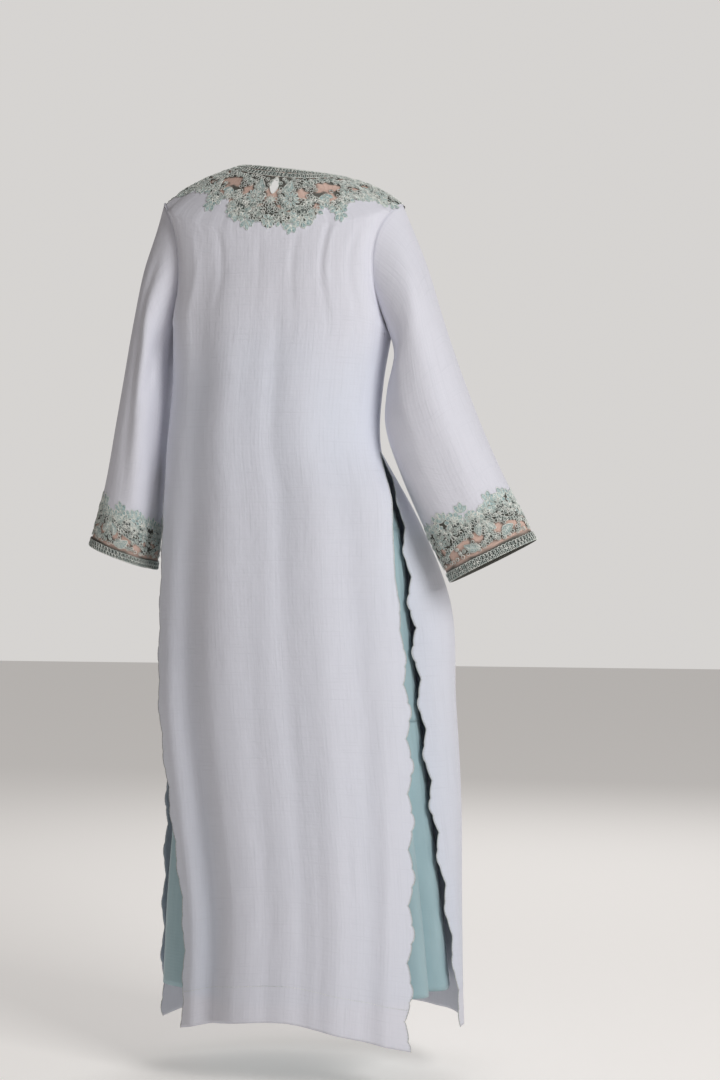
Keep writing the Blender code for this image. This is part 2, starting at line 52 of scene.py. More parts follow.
YOKE_DOWN = 0.100
FRONT_YOKE_DOWN = 0.170
UNDERARM_DOWN = 0.262
SLIT_TOP_DOWN = 0.470
BACK_HEM_DOWN = 1.415
FRONT_HEM_DOWN = 1.430
SHOULDER_X = 0.009
SHOULDER_TILT = 0.035
YOKE_ANGLE = 40.0
NECK_X = -0.006
NECK_Z = 0.011
NECK_TILT = 0.137
NECK_HALF_WIDTH = 0.086
NECK_BACK_DEPTH = 0.072
NECK_FRONT_DEPTH = 0.090
NECK_FRONT_DROP = 0.110
NECKBAND_WIDTH = 0.019
YOKE_CROWN = 0.008
KEYHOLE_WIDTH = 0.015
KEYHOLE_HEIGHT = 0.031
WRAP_DEPTH = 0.130
# How much closer the points of a panel's grid stand at its sides, and how far a bump pushes a side outwards
BACK_SPACING = 0.35
FRONT_SPACING = 0.25
SIDE_BUMP_SHARE = 0.4
# How steeply a row of cloth leaves its level towards the side, and what the underarm adds
SIDE_POWER = 2.2
UNDERARM_POWER = 6.0
OPENING_TOP_X = 0.006
OPENING_HEM_X = -0.022

BackRow = namedtuple("BackRow", "down y_mid x_left y_left x_right y_right drop_left drop_right flatness")
BACK_TABLE = [
    BackRow(0.262, 0.125, 0.199, 0.000, -0.181, 0.000, 0.007, -0.007, 1.00),
    BackRow(0.350, 0.124, 0.200, 0.007, -0.167, 0.007, 0.005, -0.005, 1.00),
    BackRow(0.470, 0.125, 0.210, 0.018, -0.166, 0.018, 0.003, -0.003, 1.05),
    BackRow(0.550, 0.127, 0.213, 0.030, -0.192, 0.056, 0.000, 0.000, 1.20),
    BackRow(0.655, 0.132, 0.215, 0.038, -0.200, 0.070, 0.000, 0.000, 1.35),
    BackRow(0.760, 0.138, 0.218, 0.040, -0.212, 0.073, -0.002, -0.002, 1.45),
    BackRow(0.900, 0.147, 0.212, 0.060, -0.226, 0.080, -0.008, -0.008, 1.55),
    BackRow(1.070, 0.157, 0.185, 0.080, -0.233, 0.090, -0.017, -0.018, 1.60),
    BackRow(1.240, 0.166, 0.159, 0.095, -0.235, 0.100, -0.029, -0.031, 1.60),
    BackRow(1.415, 0.175, 0.160, 0.100, -0.232, 0.120, -0.031, -0.049, 1.60),
]

FrontRow = namedtuple("FrontRow", "down x_mid half_width y_side depth wrap_left wrap_right drop_left drop_right")
FRONT_TABLE = [
    FrontRow(0.470, 0.022, 0.188, 0.018, 0.148, 0.0, 0.0, 0.003, -0.003),
    FrontRow(0.600, -0.003, 0.223, -0.045, 0.092, 18.0, 26.0, 0.000, 0.000),
    FrontRow(0.720, -0.022, 0.247, -0.065, 0.075, 14.0, 38.0, 0.000, 0.000),
    FrontRow(0.900, -0.024, 0.256, -0.066, 0.089, 8.0, 35.0, -0.002, -0.001),
    FrontRow(1.070, -0.027, 0.263, -0.062, 0.105, 0.0, 31.0, -0.008, -0.003),
    FrontRow(1.240, -0.027, 0.267, -0.050, 0.129, -2.0, 21.0, -0.018, -0.008),
    FrontRow(1.430, -0.030, 0.273, -0.020, 0.175, -10.0, 8.0, -0.032, -0.016),
]

# A sleeve ring: its outer and inner point seen from the back, and its middle and half depth along Y
Ring = namedtuple("Ring", "along x_outer z_outer x_inner z_inner y_mid half_depth")
SLEEVE_LEFT = [
    Ring(0.16, 0.244, -0.140, 0.206, -0.300, 0.000, 0.074),
    Ring(0.32, 0.265, -0.243, 0.212, -0.363, 0.000, 0.082),
    Ring(0.50, 0.284, -0.345, 0.217, -0.440, -0.002, 0.086),
    Ring(0.68, 0.307, -0.450, 0.225, -0.520, -0.006, 0.082),
    Ring(0.84, 0.333, -0.548, 0.233, -0.596, -0.010, 0.072),
    Ring(1.00, 0.359, -0.630, 0.241, -0.674, -0.012, 0.062),
]
SLEEVE_RIGHT = [
    Ring(0.16, -0.240, -0.150, -0.189, -0.312, 0.000, 0.074),
    Ring(0.32, -0.272, -0.252, -0.179, -0.372, 0.002, 0.080),
    Ring(0.50, -0.307, -0.352, -0.176, -0.436, 0.006, 0.080),
    Ring(0.68, -0.348, -0.455, -0.201, -0.512, 0.008, 0.072),
    Ring(0.84, -0.389, -0.542, -0.242, -0.606, 0.008, 0.058),
    Ring(1.00, -0.431, -0.622, -0.286, -0.694, 0.010, 0.046),
]
CUFF_START = 0.84

SlipRow = namedtuple("SlipRow", "down x_mid half_width y_mid depth_back depth_front")
SLIP_TABLE = [
    SlipRow(0.250, 0.012, 0.150, 0.000, 0.100, 0.108),
    SlipRow(0.350, 0.012, 0.152, 0.000, 0.098, 0.110),
    SlipRow(0.470, 0.012, 0.160, -0.002, 0.098, 0.110),
    SlipRow(0.605, 0.000, 0.194, -0.005, 0.100, 0.112),
    SlipRow(0.760, -0.008, 0.203, -0.007, 0.108, 0.114),
    SlipRow(0.930, -0.012, 0.215, -0.008, 0.118, 0.124),
    SlipRow(1.070, -0.016, 0.226, -0.009, 0.128, 0.134),
    SlipRow(1.240, -0.019, 0.243, -0.010, 0.132, 0.148),
    SlipRow(1.385, -0.023, 0.254, -0.010, 0.140, 0.162),
]
STRAP_WIDTH = 0.012
StrapPoint = namedtuple("StrapPoint", "along x y z")
STRAP_PATH = [
    StrapPoint(0.00, 0.085, 0.083, -0.2495),
    StrapPoint(0.25, 0.086, 0.080, -0.140),
    StrapPoint(0.42, 0.090, 0.052, -0.045),
    StrapPoint(0.52, 0.094, 0.005, -0.019),
    StrapPoint(0.62, 0.093, -0.045, -0.050),
    StrapPoint(0.78, 0.088, -0.082, -0.145),
    StrapPoint(1.00, 0.085, -0.091, -0.2495),
]

# ---- Folds ---------------------------------------------------------------------------------------

# A fold of a panel: its place across (0 left edge, 1 right edge), half width, height (a trough is negative),
# where it starts and is full, how far it leans across on its way down, and where it fades and is gone
Fold = namedtuple("Fold", "at width height start full lean fade gone", defaults=(9.0, 10.0))
BACK_FOLDS = [
    Fold(0.19, 0.060, -0.0040, 0.10, 0.30, -0.03),
    Fold(0.15, 0.055, -0.0090, 0.42, 0.80, -0.02),
    Fold(0.34, 0.080, 0.0060, 0.10, 0.35, -0.02),
    Fold(0.56, 0.045, -0.0040, 0.10, 0.40, 0.01),
    Fold(0.70, 0.065, 0.0042, 0.12, 0.60, 0.02),
    Fold(0.84, 0.050, -0.0050, 0.30, 0.90, 0.00),
    Fold(0.06, 0.040, 0.0050, 0.55, 1.00, 0.00),
    # Pleats that fall from the yoke
    Fold(0.265, 0.016, -0.0020, 0.09, 0.12, -0.02, 0.15, 0.30),
    Fold(0.460, 0.012, -0.0010, 0.09, 0.12, -0.02, 0.14, 0.26),
    Fold(0.630, 0.016, -0.0018, 0.09, 0.12, -0.04, 0.16, 0.36),
    Fold(0.765, 0.011, -0.0032, 0.09, 0.11, 0.05, 0.15, 0.32),
    Fold(0.790, 0.013, 0.0014, 0.09, 0.12, 0.08, 0.16, 0.32),
    Fold(0.910, 0.020, -0.0018, 0.10, 0.15, -0.04, 0.20, 0.40),
    Fold(0.120, 0.020, 0.0014, 0.10, 0.16, 0.04, 0.20, 0.42),
    # Long soft folds of the skirt, each with its own start
    Fold(0.125, 0.030, -0.0018, 0.55, 1.05, 0.02),
    Fold(0.262, 0.034, 0.0016, 0.45, 0.90, 0.00),
    Fold(0.430, 0.034, -0.0016, 0.60, 1.15, -0.02),
    Fold(0.640, 0.028, -0.0014, 0.70, 1.20, 0.01),
    Fold(0.770, 0.030, -0.0020, 0.60, 1.10, -0.01),
    Fold(0.910, 0.024, 0.0022, 0.75, 1.20, 0.00),
]
FRONT_FOLDS = [
    Fold(0.22, 0.060, -0.0090, 0.20, 0.60, 0.00),
    Fold(0.36, 0.055, 0.0070, 0.20, 0.60, 0.02),
    Fold(0.66, 0.060, -0.0085, 0.25, 0.70, 0.00),
    Fold(0.82, 0.055, 0.0065, 0.50, 1.00, 0.00),
    Fold(0.120, 0.014, -0.0030, 0.10, 0.18, 0.03, 0.28, 0.52),
    Fold(0.310, 0.014, -0.0036, 0.12, 0.20, -0.02, 0.32, 0.62),
    Fold(0.400, 0.013, 0.0022, 0.14, 0.22, 0.01, 0.30, 0.55),
    Fold(0.610, 0.013, -0.0032, 0.14, 0.22, 0.02, 0.32, 0.60),
    Fold(0.720, 0.015, 0.0028, 0.12, 0.20, 0.00, 0.34, 0.66),
    Fold(0.880, 0.014, -0.0030, 0.10, 0.18, -0.02, 0.28, 0.50),
    Fold(0.080, 0.024, 0.0026, 0.60, 1.10, 0.00),
    Fold(0.290, 0.024, -0.0028, 0.55, 1.05, 0.01),
    Fold(0.440, 0.022, 0.0022, 0.70, 1.20, 0.00),
    Fold(0.560, 0.024, -0.0024, 0.60, 1.10, -0.01),
    Fold(0.750, 0.026, -0.0030, 0.55, 1.05, 0.01),
    Fold(0.930, 0.022, -0.0024, 0.70, 1.20, 0.00),
]

# A fold of a sleeve: its angle at the armhole and at the hem, half width in degrees, height, and where along
# the sleeve it starts, is full, fades and is gone
SleeveFold = namedtuple("SleeveFold", "angle turned width height start full fade gone")
SLEEVE_FOLDS = {
    1: [SleeveFold(60, 95, 16, -0.0060, 0.02, 0.15, 0.55, 0.85),
        SleeveFold(95, 120, 18, 0.0060, 0.05, 0.25, 0.70, 1.00),
        SleeveFold(150, 60, 12, -0.0055, 0.08, 0.20, 0.40, 0.60),
        SleeveFold(20, 50, 14, 0.0040, 0.05, 0.20, 0.60, 0.90),
        SleeveFold(125, 160, 12, -0.0045, 0.30, 0.50, 0.90, 1.10),
        SleeveFold(250, 230, 18, -0.0060, 0.05, 0.30, 0.80, 1.10),
        SleeveFold(300, 310, 16, 0.0050, 0.10, 0.30, 0.80, 1.10)],
    -1: [SleeveFold(70, 50, 18, 0.0032, 0.03, 0.20, 0.60, 0.90),
         SleeveFold(110, 85, 16, -0.0026, 0.10, 0.30, 0.80, 1.05),
         SleeveFold(150, 100, 13, -0.0036, 0.05, 0.20, 0.45, 0.70),
         SleeveFold(35, 60, 13, -0.0024, 0.30, 0.50, 0.80, 1.00),
         SleeveFold(170, 130, 13, 0.0030, 0.15, 0.35, 0.70, 0.95),
         SleeveFold(250, 230, 18, -0.0060, 0.05, 0.30, 0.80, 1.10),
         SleeveFold(300, 310, 16, 0.0050, 0.10, 0.30, 0.80, 1.10)],
}

# Folds of the slip's skirt go round it by angle: 0 is the left side, 90 the back, 180 the right side
SkirtFold = namedtuple("SkirtFold", "angle width height start full")
SKIRT_FOLDS = [
    SkirtFold(8.0, 9.0, -0.012, 0.62, 1.20),
    SkirtFold(40.0, 14.0, -0.010, 0.62, 1.20),
    SkirtFold(68.0, 12.0, -0.010, 0.62, 1.20),
    SkirtFold(112.0, 13.0, -0.010, 0.62, 1.20),
    SkirtFold(147.0, 10.0, 0.015, 0.66, 1.25),
    SkirtFold(164.0, 7.0, -0.028, 0.70, 1.30),
    SkirtFold(205.0, 12.0, 0.010, 0.62, 1.20),
    SkirtFold(232.0, 11.0, -0.011, 0.62, 1.20),
    SkirtFold(275.0, 14.0, -0.010, 0.62, 1.20),
    SkirtFold(318.0, 12.0, -0.011, 0.62, 1.20),
]

# ---- Sewing details ------------------------------------------------------------------------------

LINEN_SHELL = 0.0007
SLIP_SHELL = 0.0006
STRAP_SHELL = 0.0010
NET_SHELL = 0.0003
NET_SINK = 0.0009
HEM_DEPTH = 0.060
EDGE_STRIP = 0.024
EDGE_COLUMNS = 5
WAVE_PITCH = 0.0859
WAVE_DEPTH = 0.010
LOBES = 3
LOBE_DEPTH = 0.0045
ROWS_PER_WAVE = 18
BACK_COLUMNS = 76
FRONT_COLUMNS = 38
PATCH_ROWS = 8
CORNER_COLUMNS = 6
WELD = 2e-5


def blend(rows, at):
    """The row that a smooth curve through a table has at a value of its first column."""
    return blend_cached(tuple(rows), at)


@lru_cache(maxsize=None)
def table_slopes(rows):
    table = np.array(rows, dtype=float)
    return table, np.gradient(table, table[:, 0], axis=0)


@lru_cache(maxsize=8192)
def blend_cached(rows, at):
    table, slopes = table_slopes(rows)
    keys = table[:, 0]
    i = int(np.clip(np.searchsorted(keys, at) - 1, 0, len(keys) - 2))
    span = keys[i + 1] - keys[i]
    f = min(max((at - keys[i]) / span, 0.0), 1.0)
    values = ((1 + 2 * f) * (1 - f) ** 2 * table[i] + f * f * (3 - 2 * f) * table[i + 1]
              + span * f * (1 - f) ** 2 * slopes[i] - span * f * f * (1 - f) * slopes[i + 1])
    return type(rows[0])(*(float(value) for value in values))


def ease(value, start, full):
    """0 before start, 1 after full, smooth between."""
    f = min(max((value - start) / (full - start), 0.0), 1.0)
    return f * f * (3 - 2 * f)


def mix(a, b, f):
    return a + (b - a) * f


# ---- Cloth surfaces ------------------------------------------------------------------------------

def armhole(side, angle):
    """A point of the armhole seam: angle 0 at the shoulder tip, 90 at the back, 180 under the arm."""
    a = math.radians(angle)
    x = 0.185 + 0.010 * math.cos(a) + 0.015 * math.cos(2 * a)
    y = 0.060 * math.sin(a)
    z = -0.144 + 0.109 * math.cos(a) - 0.009 * math.cos(2 * a)
    return Vector((SHOULDER_X + side * x, y, z + SHOULDER_TILT * side * x))


def armhole_angle(down, top_down):
    """The armhole angle that a body row meets between the yoke and the underarm."""
    return mix(YOKE_ANGLE, 180.0, (down - top_down) / (UNDERARM_DOWN - top_down))


def fold_height(folds, across, down):
    """How far the cloth stands out (or in) at a place on a panel."""
    height = 0.0
    for fold in folds:
        apart = (across - fold.at - fold.lean * (down - fold.start)) / fold.width
        if abs(apart) < 3.0:
            shown = ease(down, fold.start, fold.full) * (1 - ease(down, fold.fade, fold.gone))
            height += fold.height * math.exp(-apart * apart) * shown
    return height


@lru_cache(maxsize=4096)
def back_edges(down):
    """The left and right edge of the back panel, and its middle depth and flatness, at a level."""
    if down >= UNDERARM_DOWN:
        row = blend(BACK_TABLE, down)
        left = Vector((row.x_left, row.y_left, row.drop_left - down))
        right = Vector((row.x_right, row.y_right, row.drop_right - down))
        return left, right, row.y_mid, row.flatness
    angle = armhole_angle(down, YOKE_DOWN)
    y_mid = mix(0.106, BACK_TABLE[0].y_mid, ease(down, YOKE_DOWN, UNDERARM_DOWN))
    return armhole(1, angle), armhole(-1, angle), y_mid, 1.0


def underarm_share(down):
    """How near a level is to the underarm, where the edge turns sharply but the middle hangs straight."""
    return ease(down, 0.12, 0.21) * (1 - ease(down, 0.30, 0.42))


@lru_cache(maxsize=4096)
def soft_edge_y(down):
    """The depth of the back panel's edge, without the sharp turn at the underarm."""
    above, below = armhole(1, armhole_angle(0.17, YOKE_DOWN)).y, blend(BACK_TABLE, 0.42).y_left
    if down < 0.17:
        return armhole(1, armhole_angle(down, YOKE_DOWN)).y
    return mix(above, below, ease(down, 0.17, 0.42)) if down < 0.42 else blend(BACK_TABLE, down).y_left


def back_point(s, down):
    """A point of the jacket's back: s runs from the left edge (0) to the right edge (1)."""
    left, right, y_mid, flatness = back_edges(down)
    phi = math.pi * (s + BACK_SPACING * math.sin(2 * math.pi * s) / (2 * math.pi))
    across = (1 - math.cos(phi)) / 2
    edge = left.lerp(right, across)
    out = max(math.sin(phi), 0.0) ** flatness
    # The hem swings down sooner on the right than on the left
    power = SIDE_POWER if across < 0.5 else mix(SIDE_POWER, 1.2, ease(down, 0.9, BACK_HEM_DOWN))
    power += UNDERARM_POWER * underarm_share(down)
    z = mix(-down, (left if across < 0.5 else right).z, abs(math.cos(phi)) ** power)
    bump = fold_height(BACK_FOLDS, across, down) + pucker(across, down)
    near_underarm = underarm_share(down)
    side_y = mix(edge.y, soft_edge_y(down), near_underarm * (1 - abs(math.cos(phi)) ** 12))
    return Vector((edge.x + SIDE_BUMP_SHARE * bump * math.cos(phi), mix(side_y, y_mid, out) + bump, z))


@lru_cache(maxsize=4096)
def front_section(down):
    """The jacket's front at a level: x_mid, half_width, y_side, depth, wraps in degrees, edge heights."""
    if down > SLIT_TOP_DOWN:
        row = blend(FRONT_TABLE, down)
        return (row.x_mid, row.half_width, row.y_side, row.depth, row.wrap_left, row.wrap_right,
                row.drop_left - down, row.drop_right - down)
    if down >= UNDERARM_DOWN:
        left, right, _, _ = back_edges(down)
    else:
        angle = -armhole_angle(down, YOKE_DOWN)
        left, right = armhole(1, angle), armhole(-1, angle)
    y_front = mix(-0.104, -0.134, ease(down, YOKE_DOWN, 0.24)) + 0.004 * ease(down, 0.26, SLIT_TOP_DOWN)
    return ((left.x + right.x) / 2, (left.x - right.x) / 2, left.y, left.y - y_front, 0.0, 0.0, left.z, right.z)


def front_point(s, down):
    """A point of the jacket's front: s runs from the left edge (0) over the centre (0.5) to the right (1)."""
    x_mid, half_width, y_side, depth, wrap_left, wrap_right, z_left, z_right = front_section(down)
    opening_x = mix(OPENING_TOP_X, OPENING_HEM_X, ease(down, YOKE_DOWN, FRONT_HEM_DOWN))
    opening = math.acos((opening_x - x_mid) / half_width)
    crowding = FRONT_SPACING * math.sin(4 * math.pi * min(s, 1 - s)) / (2 * math.pi)
    even = 2 * s + crowding * (1 if s < 0.5 else -1)
    if s < 0.5:
        phi = mix(-math.radians(wrap_left), opening, even)
    else:
        phi = mix(opening, math.pi + math.radians(wrap_right), even - 1)
    swing = math.sin(phi)
    y = y_side - swing * (depth if swing > 0 else WRAP_DEPTH)
    bump = fold_height(FRONT_FOLDS, s, down)
    # The top of the panels dips to the yoke's point at the centre front
    dip = (FRONT_YOKE_DOWN - YOKE_DOWN) * (1 - ease(down, YOKE_DOWN, 0.5)) * max(swing, 0.0) ** 3
    power = SIDE_POWER + UNDERARM_POWER * underarm_share(down)
    z = mix(-down, z_left if s < 0.5 else z_right, abs(math.cos(phi)) ** power) - dip
    return Vector((x_mid + (half_width + SIDE_BUMP_SHARE * bump) * math.cos(phi), y - bump, z))


def neckline(turn):
    """The top edge of the neckband: turn 0 at the left neck point, 90 at the centre back, -90 centre front."""
    b = math.radians(turn)
    x = NECK_X + NECK_HALF_WIDTH * math.cos(b)
    tilt = NECK_TILT * (x - NECK_X)
    if turn >= 0:
        return Vector((x, NECK_BACK_DEPTH * math.sin(b), NECK_Z + tilt - 0.005 * math.sin(b)))
    drop = NECK_FRONT_DROP * math.sin(-b) ** 1.6
    return Vector((x, NECK_FRONT_DEPTH * math.sin(b), NECK_Z + tilt - drop))


# The yoke's spokes meet the armhole up to this turn, and the body panel beyond it
ARMHOLE_TURN = 180.0 * 3 / 22


def turn_place(turn):
    """The place across the body panel (0 to 1) that a spoke of the yoke meets."""
    return (turn - ARMHOLE_TURN) / (180.0 - 2 * ARMHOLE_TURN)


@lru_cache(maxsize=4096)
def spoke(front, turn):
    """The two ends of a spoke of the yoke: on the neckline and on its rim."""
    sign = -1 if front else 1
    if turn < ARMHOLE_TURN:
        rim = armhole(1, sign * YOKE_ANGLE * turn / ARMHOLE_TURN)
    elif turn > 180.0 - ARMHOLE_TURN:
        rim = armhole(-1, sign * YOKE_ANGLE * (180.0 - turn) / ARMHOLE_TURN)
    else:
        rim = (front_point if front else back_point)(turn_place(turn), YOKE_DOWN)
    return neckline(sign * turn), rim


def spoke_length(front, turn):
    top, rim = spoke(front, turn)
    return (rim - top).length


def yoke_point(front, turn, reach):
    """A point of the yoke, a reach below the neckline, slightly crowned. It goes on down the panel."""
    top, rim = spoke(front, turn)
    chord = rim - top
    over = reach - chord.length
    if over > 0 and ARMHOLE_TURN <= turn <= 180.0 - ARMHOLE_TURN:
        return (front_point if front else back_point)(turn_place(turn), YOKE_DOWN + over)
    f = reach / chord.length
    along = chord.normalized()
    up = Vector((0, 0, 1))
    normal = (up - along * up.dot(along)).normalized()
    return top + chord * f + normal * (4 * f * (1 - f) * YOKE_CROWN if f < 1 else 0.0)


def sleeve_fold(side, angle, along):
    height = 0.0
    for fold in SLEEVE_FOLDS[side]:
        apart = (angle - mix(fold.angle, fold.turned, along) + 180.0) % 360.0 - 180.0
        if abs(apart) < 3 * fold.width:
            shown = ease(along, fold.start, fold.full) * (1 - ease(along, fold.fade, fold.gone))
            height += fold.height * math.exp(-(apart / fold.width) ** 2) * shown
    return height


@lru_cache(maxsize=1024)
def sleeve_path(side, angle):
    """The row of points that a sleeve passes through at one angle, from the armhole to the hem."""
    a = math.radians(angle)
    PathPoint = namedtuple("PathPoint", "along x y z")
    path = [PathPoint(0.0, *armhole(side, angle))]
    for ring in SLEEVE_LEFT if side > 0 else SLEEVE_RIGHT:
        outer = Vector((ring.x_outer, ring.y_mid, ring.z_outer))
        inner = Vector((ring.x_inner, ring.y_mid, ring.z_inner))
        point = (outer + inner) / 2 + (outer - inner) / 2 * math.cos(a)
        path.append(PathPoint(ring.along, point.x, ring.y_mid + ring.half_depth * math.sin(a), point.z))
    return tuple(path)


def sleeve_point(side, angle, along):
    """A point of a sleeve: angle as on the armhole, along 0 at the armhole and 1 at the cuff's hem."""
    point = blend(sleeve_path(side, angle), along)
    a = math.radians(angle)
    bump = sleeve_fold(side, angle, along)
    return Vector((point.x + side * bump * math.cos(a) * 0.8, point.y + bump * math.sin(a),
                   point.z + bump * math.cos(a) * 0.5))


@lru_cache(maxsize=4096)
def gather_waves(seed, count):
    """Small gathers round a seam: an angle, a half width and a height for each, all uneven."""
    draw = random.Random(seed)
    step = 360.0 / count
    return tuple((step * (i + draw.uniform(-0.3, 0.3)), step * draw.uniform(0.25, 0.42),
                  draw.uniform(0.5, 1.0)) for i in range(count))


def slip_point(angle, down, gathers=None):
    """A point of the slip dress: angle 0 at the left side, 90 at the back, 180 at the right side."""
    row = blend(SLIP_TABLE, down)
    a = math.radians(angle)
    bump = 0.0
    for fold in SKIRT_FOLDS:
        apart = (angle - fold.angle + 180.0) % 360.0 - 180.0
        bump += fold.height * math.exp(-(apart / fold.width) ** 2) * ease(down, fold.start, fold.full)
    if gathers is not None:
        bump += gathers
    depth = row.depth_back if math.sin(a) > 0 else row.depth_front
    x = row.x_mid + (row.half_width + bump) * math.cos(a)
    return Vector((x, row.y_mid + (depth + bump) * math.sin(a), -down))


# ---- Puckers under the yoke ----------------------------------------------------------------------

Pucker = namedtuple("Pucker", "at width height length")


def draw_puckers():
    """Short uneven puckers where the linen is eased onto the yoke."""
    draw = random.Random(7)
    puckers = []
    at = 0.07
    while at < 0.95:
        width, height = draw.uniform(0.004, 0.009), draw.uniform(-0.0013, 0.0006)
        puckers.append(Pucker(at, width, height, draw.uniform(0.015, 0.05)))
        at += draw.uniform(0.018, 0.045)
    return puckers


PUCKERS = draw_puckers()


def pucker(across, down):
    if down > 0.22:
        return 0.0
    height = 0.0
    for item in PUCKERS:
        apart = (across - item.at) / item.width
        if abs(apart) < 3:
            shown = 1 - ease(down, YOKE_DOWN, YOKE_DOWN + item.length)
            height += item.height * math.exp(-apart * apart) * shown
    return height


# ---- Sheets of cloth -----------------------------------------------------------------------------

def painted_slip_tint_share(point):
    """How strongly the slip's blue is painted onto the opaque linen at a point, a painted see-through: 1 where
    they touch, 0 where they are far apart.
    """
    down = -point[2]
    if down < 0.20:
        return 0.0
    row = blend(SLIP_TABLE, round(max(down, SLIP_TABLE[0].down), 3))
    depth = row.depth_back if point[1] > row.y_mid else row.depth_front
    x, y = (point[0] - row.x_mid) / row.half_width, (point[1] - row.y_mid) / depth
    gap = (math.hypot(x, y) - 1) * 0.5 * (row.half_width + depth)
    return math.exp(-max(gap, 0.0) / 0.035) * ease(down, 0.20, 0.34) * (1 - ease(down, 1.375, 1.40))


def fill_grid(mesh, points, uv_layer, shift=(0.0, 0.0)):
    """Adds one grid to a bmesh, bent through points[row][column], with its UVs in metres of cloth."""
    rows, columns = points.shape[:2]
    made = bmesh.ops.create_grid(mesh, x_segments=columns - 1, y_segments=rows - 1, size=0.5)
    verts = made["verts"]
    middle = columns // 2
    across = np.zeros((rows, columns))
    across[:, 1:] = np.cumsum(np.linalg.norm(np.diff(points, axis=1), axis=2), axis=1)
    across -= across[:, middle:middle + 1]
    down = np.zeros(rows)
    down[1:] = np.cumsum(np.linalg.norm(np.diff(points[:, middle], axis=0), axis=1))
    places = {}
    for k, vert in enumerate(verts):
        j, i = divmod(k, columns)
        vert.co = points[j, i]
        places[vert] = (across[j, i] + shift[0], down[j] + shift[1])
    faces = {face for vert in verts for face in vert.link_faces}
    for face in faces:
        face.smooth = True
        for loop in face.loops:
            loop[uv_layer].uv = places[loop.vert]
    return verts


def finish_sheet(name, mesh, material, shell, flip, replaces, near=False):
    """Welds a sheet, gives it its thickness inwards and ties it to the frame."""
    bmesh.ops.remove_doubles(mesh, verts=mesh.verts, dist=WELD)
    if flip:
        bmesh.ops.reverse_faces(mesh, faces=mesh.faces)
    # Each point keeps how strongly the slip's blue is painted on it: a painted see-through, as the linen is
    # opaque.
    if near:
        layer = mesh.verts.layers.float.new("painted_slip_tint")
        for vert in mesh.verts:
            vert[layer] = painted_slip_tint_share(vert.co)
    data = bpy.data.meshes.new(name)
    mesh.to_mesh(data)
    mesh.free()
    piece = bpy.data.objects.new(name, data)
    bpy.context.scene.collection.objects.link(piece)
    data.materials.append(material)
    if shell:
        wall = piece.modifiers.new("wall", "SOLIDIFY")
        wall.thickness = shell
        wall.offset = -1.0
        wall.use_even_offset = False
    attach(piece, "root")
    if replaces:
        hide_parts(*replaces)
    return piece


def new_sheet():
    mesh = bmesh.new()
    return mesh, mesh.loops.layers.uv.new("cloth")


def sheet(name, points, material, shell, flip, replaces, near=False):
    """One sheet of cloth through a grid of points."""
    mesh, uv_layer = new_sheet()
    fill_grid(mesh, points, uv_layer)
    return finish_sheet(name, mesh, material, shell, flip, replaces, near)


def inset_place(panel, down, start, inset):
    """The place across a panel (0 to 1) that lies an inset's length inside its left or right edge."""
    step = 0.01 if start == 0 else -0.01
    place, last, walked = start, panel(start, down), 0.0
    while walked < inset:
        here = panel(place + step, down)
        length = (here - last).length
        if walked + length >= inset:
            return place + step * (inset - walked) / length
        place, last, walked = place + step, here, walked + length
    return place


def scallop(down):
    """How far the slit's edge stands out: a long wave that carries three small lobes."""
    phase = (down - SLIT_TOP_DOWN) / WAVE_PITCH
    lobe = (LOBES * phase + 0.5) % 1.0
    wave = WAVE_DEPTH / 2 * math.cos(2 * math.pi * phase)
    out = wave + LOBE_DEPTH * (math.sqrt(1 - (2 * lobe - 1) ** 2) - 0.6)
    return out * ease(down, SLIT_TOP_DOWN, SLIT_TOP_DOWN + 0.05)


def panel_levels(hem):
    """The rows of a body panel. The ones beside the slit fall on the scallops' cusps and crests."""
    waves = round((hem - SLIT_TOP_DOWN) / WAVE_PITCH)
    spans = [(YOKE_DOWN, UNDERARM_DOWN, 26), (UNDERARM_DOWN, SLIT_TOP_DOWN, 30),
             (SLIT_TOP_DOWN, hem, waves * ROWS_PER_WAVE)]
    return [mix(top, bottom, i / steps) for top, bottom, steps in spans for i in range(steps)] + [hem]


def scallop_share(panel, down, start):
    """The upper part of the back panel's right edge turns inwards, so its scallops barely stand out there."""
    return mix(0.15, 1.0, ease(down, 0.64, 0.95)) if panel is back_point and start == 1 else 1.0


def edge_run(panel, down, start):
    """The points of a panel's edge strip, from its inner line to its scalloped edge."""
    inner = panel(inset_place(panel, down, start, EDGE_STRIP), down)
    edge = panel(start, down)
    out = (edge - inner).normalized()
    tip = edge + out * scallop(down) * scallop_share(panel, down, start)
    return [inner.lerp(tip, i / EDGE_COLUMNS) for i in range(EDGE_COLUMNS + 1)]


def panel_grid(panel, hem, first, last, columns):
    """A body panel's points. first and last are the places across where it starts and ends."""
    rows = []
    for down in panel_levels(hem):
        begin = inset_place(panel, down, 0, EDGE_STRIP) if first == 0 else first
        end = inset_place(panel, down, 1, EDGE_STRIP) if last == 1 else last
        row = [panel(mix(begin, end, i / columns), down) for i in range(columns + 1)]
        if first == 0:
            row = list(reversed(edge_run(panel, down, 0)))[:-1] + row
        if last == 1:
            row = row + edge_run(panel, down, 1)[1:]
        rows.append(row)
    return np.array([[tuple(point) for point in row] for row in rows])


# ---- Materials -----------------------------------------------------------------------------------

def new_material(name, color, roughness):
    material = bpy.data.materials.new(name)
    material.use_nodes = True
    shader = material.node_tree.nodes["Principled BSDF"]
    shader.inputs["Base Color"].default_value = (*color, 1.0)
    shader.inputs["Roughness"].default_value = roughness
    return material, material.node_tree, shader


def add_node(tree, kind, **settings):
    node = tree.nodes.new(kind)
    for key, value in settings.items():
        if key in node.inputs:
            node.inputs[key].default_value = value
        else:
            setattr(node, key, value)
    return node


